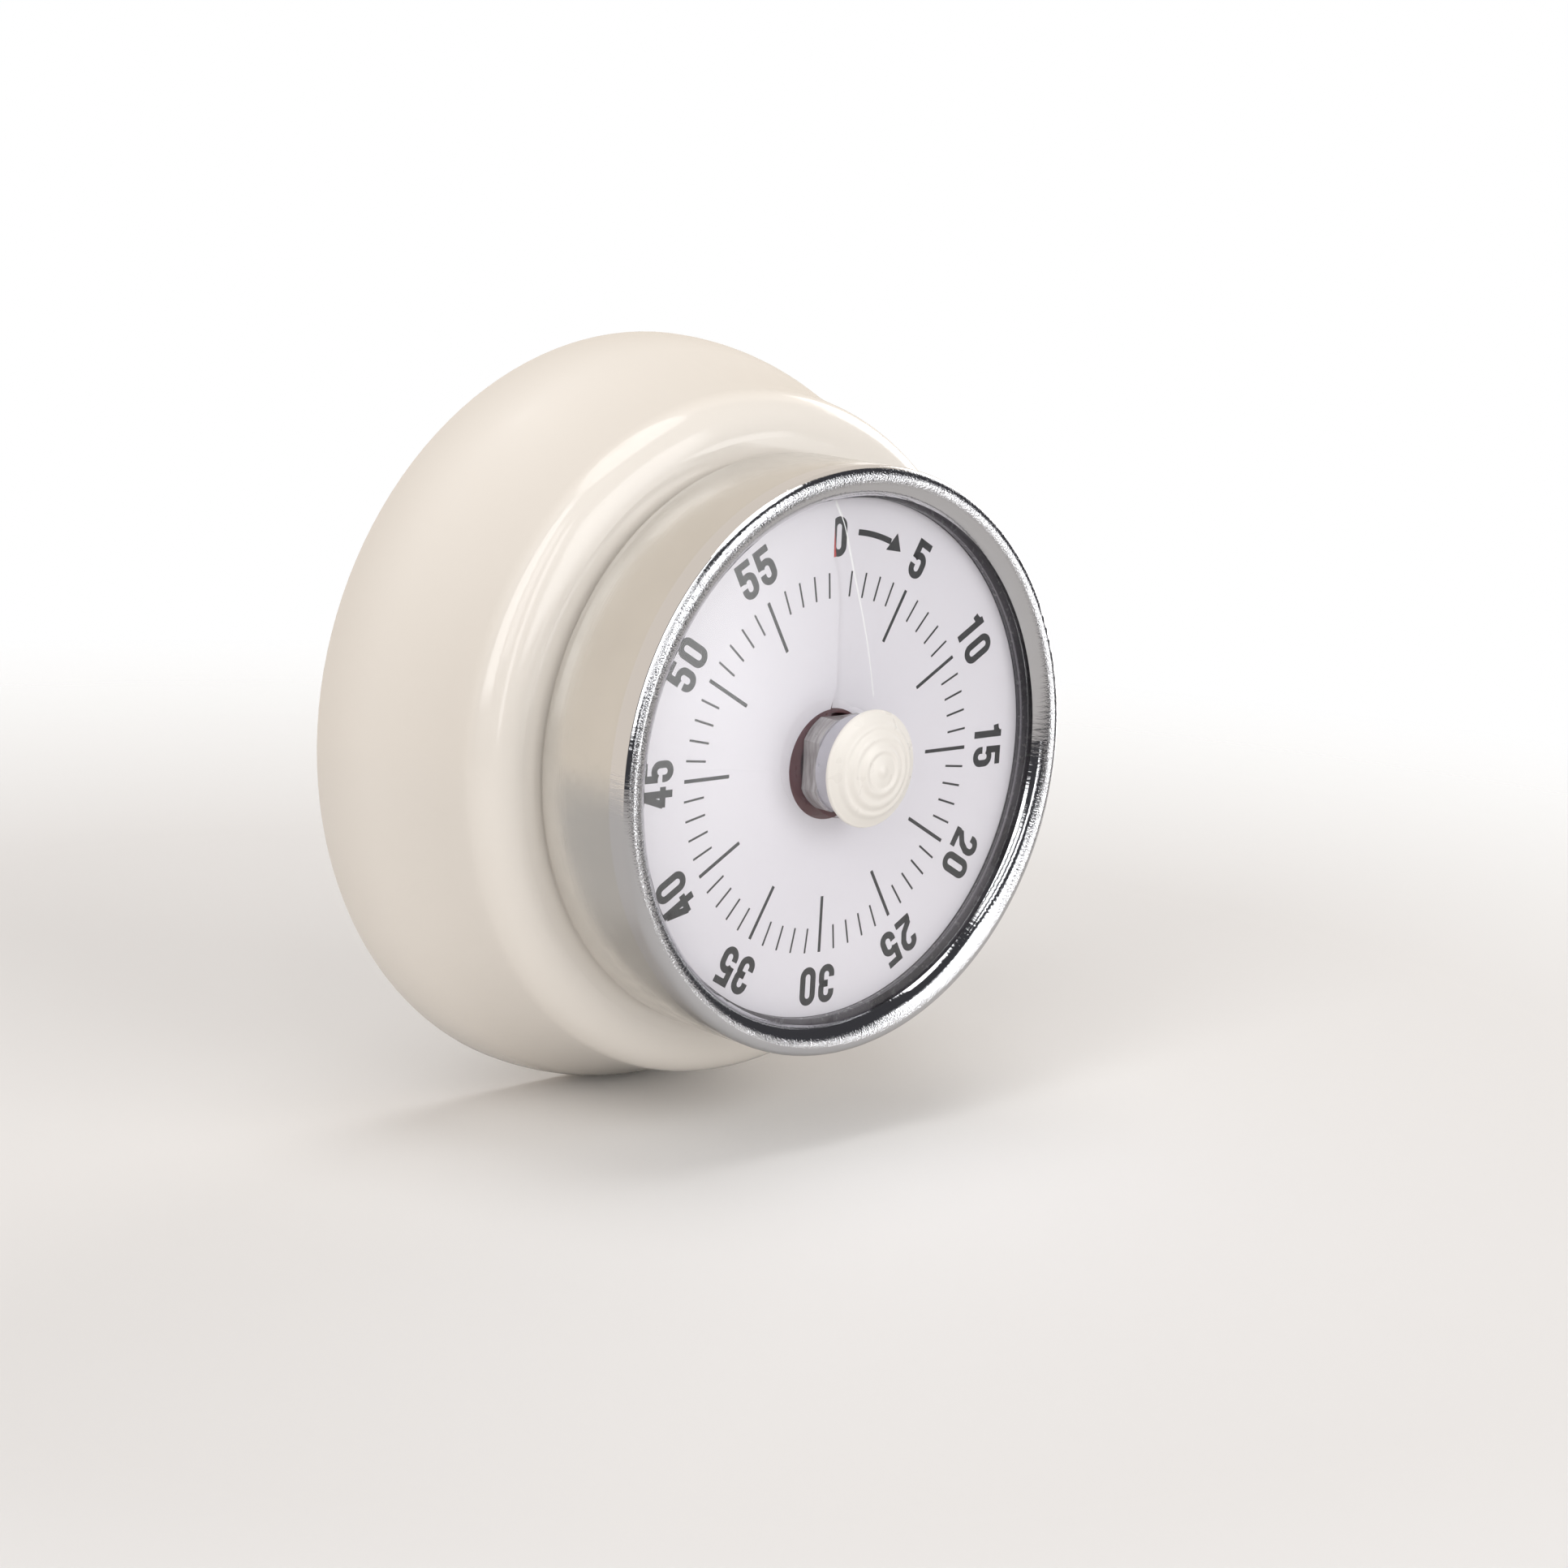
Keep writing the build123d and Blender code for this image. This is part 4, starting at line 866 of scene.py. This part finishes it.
RIM = 0.3
REAR_RIM = 0.15
rim_centre = (CAP_RADIUS - RIM, cap_face(CAP_RADIUS - RIM) - RIM)
cap_outline = [(0.0, cap_face(0.0))]
cap_outline += [(radius, cap_face(radius)) for radius in between(0.08, CAP_RADIUS - RIM, 70)]
cap_outline += arc(*rim_centre, RIM, 60, 0, 8)
cap_outline += arc(CAP_RADIUS - REAR_RIM, CAP_REAR + REAR_RIM, REAR_RIM, 0, -90, 4)
cap_outline += [(STEM_OUTER, CAP_REAR), (STEM_OUTER, CAP_STEM_LOW), (STEM_INNER, CAP_STEM_LOW)]
cap_outline += [(STEM_INNER, CAP_REAR), (0.0, CAP_REAR)]
knob_cap = lathe("ridged_cap", cap_outline, SETTING, finishes["cream_plastic"])
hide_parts("knob_cap")

# ---------------------------------------------------------------- clear hub
frame["nodes"]["clear_knob"].material_slots[0].material = clear_moulding()

# ---------------------------------------------------------------- camera
# The aim is a point of the row frame. The azimuth is 0 in front of the dial, and grows to the
# user's right.
CAMERA_AZIMUTH = -43.395
CAMERA_ELEVATION = 11.299
CAMERA_ROLL = 3.211
CAMERA_AIM = (-11.593, -41.8, -1.086)
CAMERA_DISTANCE = 370.65
SENSOR = 36.0
LENS = 74.53


def make_camera():
    """A long lens to the left of the dial and a little above it."""
    azimuth, elevation = radians(CAMERA_AZIMUTH), radians(CAMERA_ELEVATION)
    back = Vector((sin(azimuth) * cos(elevation), -cos(azimuth) * cos(elevation), sin(elevation)))
    level_right = Vector((cos(azimuth), sin(azimuth), 0))
    level_up = back.cross(level_right)
    roll = radians(CAMERA_ROLL)
    right = level_right * cos(roll) + level_up * sin(roll)
    up = level_up * cos(roll) - level_right * sin(roll)
    data = bpy.data.cameras.new("camera")
    data.sensor_width = SENSOR
    data.lens = LENS
    data.clip_start = 0.01
    camera = bpy.data.objects.new("camera", data)
    place = (Vector(CAMERA_AIM) + back * CAMERA_DISTANCE) * MM
    camera.matrix_world = Matrix.Translation(place) @ Matrix((right, up, back)).transposed().to_4x4()
    bpy.context.scene.collection.objects.link(camera)
    bpy.context.scene.camera = camera


# ---------------------------------------------------------------- studio
# The floor's radius, and the radius where it starts to fade, in metres.
FLOOR_RADIUS = 0.34
FLOOR_CLEAR = 0.14
FLOOR_SHADE = (0.52, 0.51, 0.50, 1)


def make_floor():
    """A plain pale floor that the timer's foot just touches, fading into the white studio."""
    low = cad_box[0].z
    mesh = bpy.data.meshes.new("floor")
    rim = [(x * FLOOR_RADIUS, y * FLOOR_RADIUS, low) for x, y in arc(0, 0, 1, 0, 360, 96)[:-1]]
    mesh.from_pydata(rim, [], [tuple(range(len(rim)))])
    floor = bpy.data.objects.new("floor", mesh)
    bpy.context.scene.collection.objects.link(floor)
    finish = Finish("floor_paint")
    paint = finish.blend(finish.noise(0.004), (0.84, 0.83, 0.82, 1), (0.87, 0.86, 0.85, 1))
    # Shiny surfaces see a darker floor than the camera does.
    mirrored = finish.new("ShaderNodeLightPath").outputs["Is Glossy Ray"]
    finish.colour(finish.blend(mirrored, paint, FLOOR_SHADE))
    finish.roughness(0.8)
    parts = finish.add("ShaderNodeSeparateXYZ", Vector=finish.place)
    reach = finish.length(parts.outputs["X"], parts.outputs["Y"])
    kept = finish.between(reach, FLOOR_CLEAR, FLOOR_RADIUS, 1.0, 0.0)
    finish.feed(finish.shader.inputs["Alpha"], kept)
    floor.data.materials.append(finish.material)


# Each panel of light is (azimuth, elevation, half width, half height, brightness), in degrees.
# Azimuth 0 is in front of the dial and grows to the user's right.
PANELS = (
    (-73, 38, 11, 30, 3.2),
    (-50, 36, 7, 20, 1.6),
    (-30, 22, 4, 26, 2.4),
    (12, 22, 22, 17, 2.4),
    (104, 8, 15, 24, 2.2),
    (34.4, -9, 9, 15, 2.8),
    (0, 82, 180, 11, 2.3),
)
PANEL_EDGE = 0.12
WALL_FADE = 0.12
ROOM_SEEN = (0.05, 0.05, 0.055, 1)
ROOM_LIGHT = (0.45, 0.44, 0.44, 1)
BEHIND_SEEN = (0.80, 0.72, 0.63, 1)
BEHIND_LIGHT = (0.14, 0.10, 0.07, 1)
BACKDROP = (1.0, 1.0, 1.0, 1)


def make_world():
    """A studio of soft panels in a dark room, with a cream wall's light behind the timer.

    Matt surfaces get an even fill from the room. Shiny ones see its panels and its dark gaps. The
    camera itself sees plain white.
    """
    world = bpy.data.worlds.new("studio")
    world.use_nodes = True
    studio = Nodes(world.node_tree)
    direction = studio.new("ShaderNodeTexCoord").outputs["Generated"]
    parts = studio.add("ShaderNodeSeparateXYZ", Vector=direction)
    x, y, z = (parts.outputs[axis] for axis in "XYZ")
    front_y = studio.math("MULTIPLY", y, -1.0)
    azimuth = studio.math("MULTIPLY", studio.math("ARCTAN2", x, front_y), 180 / pi)
    elevation = studio.math("MULTIPLY", studio.math("ARCSINE", z), 180 / pi)

    def share_of(angle, middle, half):
        """How far an angle is from a panel's middle, where 1 is the panel's edge."""
        away = studio.math("ABSOLUTE", studio.math("SUBTRACT", angle, middle))
        return studio.math("DIVIDE", away, half)

    light = None
    for turn, rise, half_width, half_height, brightness in PANELS:
        across = share_of(azimuth, turn, half_width)
        edge = studio.math("MAXIMUM", across, share_of(elevation, rise, half_height))
        panel = studio.between(edge, 1 - PANEL_EDGE, 1 + PANEL_EDGE, brightness, 0.0)
        light = panel if light is None else studio.math("MAXIMUM", light, panel)
    ray = studio.new("ShaderNodeLightPath")
    fill = studio.math("MAXIMUM", ray.outputs["Is Diffuse Ray"], ray.outputs["Is Transmission Ray"])
    front = studio.blend(fill, ROOM_SEEN, ROOM_LIGHT)
    behind = studio.blend(fill, BEHIND_SEEN, BEHIND_LIGHT)
    room = studio.blend(studio.between(y, 0.0, WALL_FADE), front, behind)
    glow = studio.add("ShaderNodeVectorMath")
    glow.operation = "ADD"
    studio.feed(glow.inputs[0], room)
    studio.feed(glow.inputs[1], light)
    background = world.node_tree.nodes["Background"]
    seen = ray.outputs["Is Camera Ray"]
    studio.feed(background.inputs["Color"], studio.blend(seen, glow.outputs["Vector"], BACKDROP))
    bpy.context.scene.world = world


make_camera()
make_floor()
make_world()
bpy.context.scene.view_settings.view_transform = "Standard"
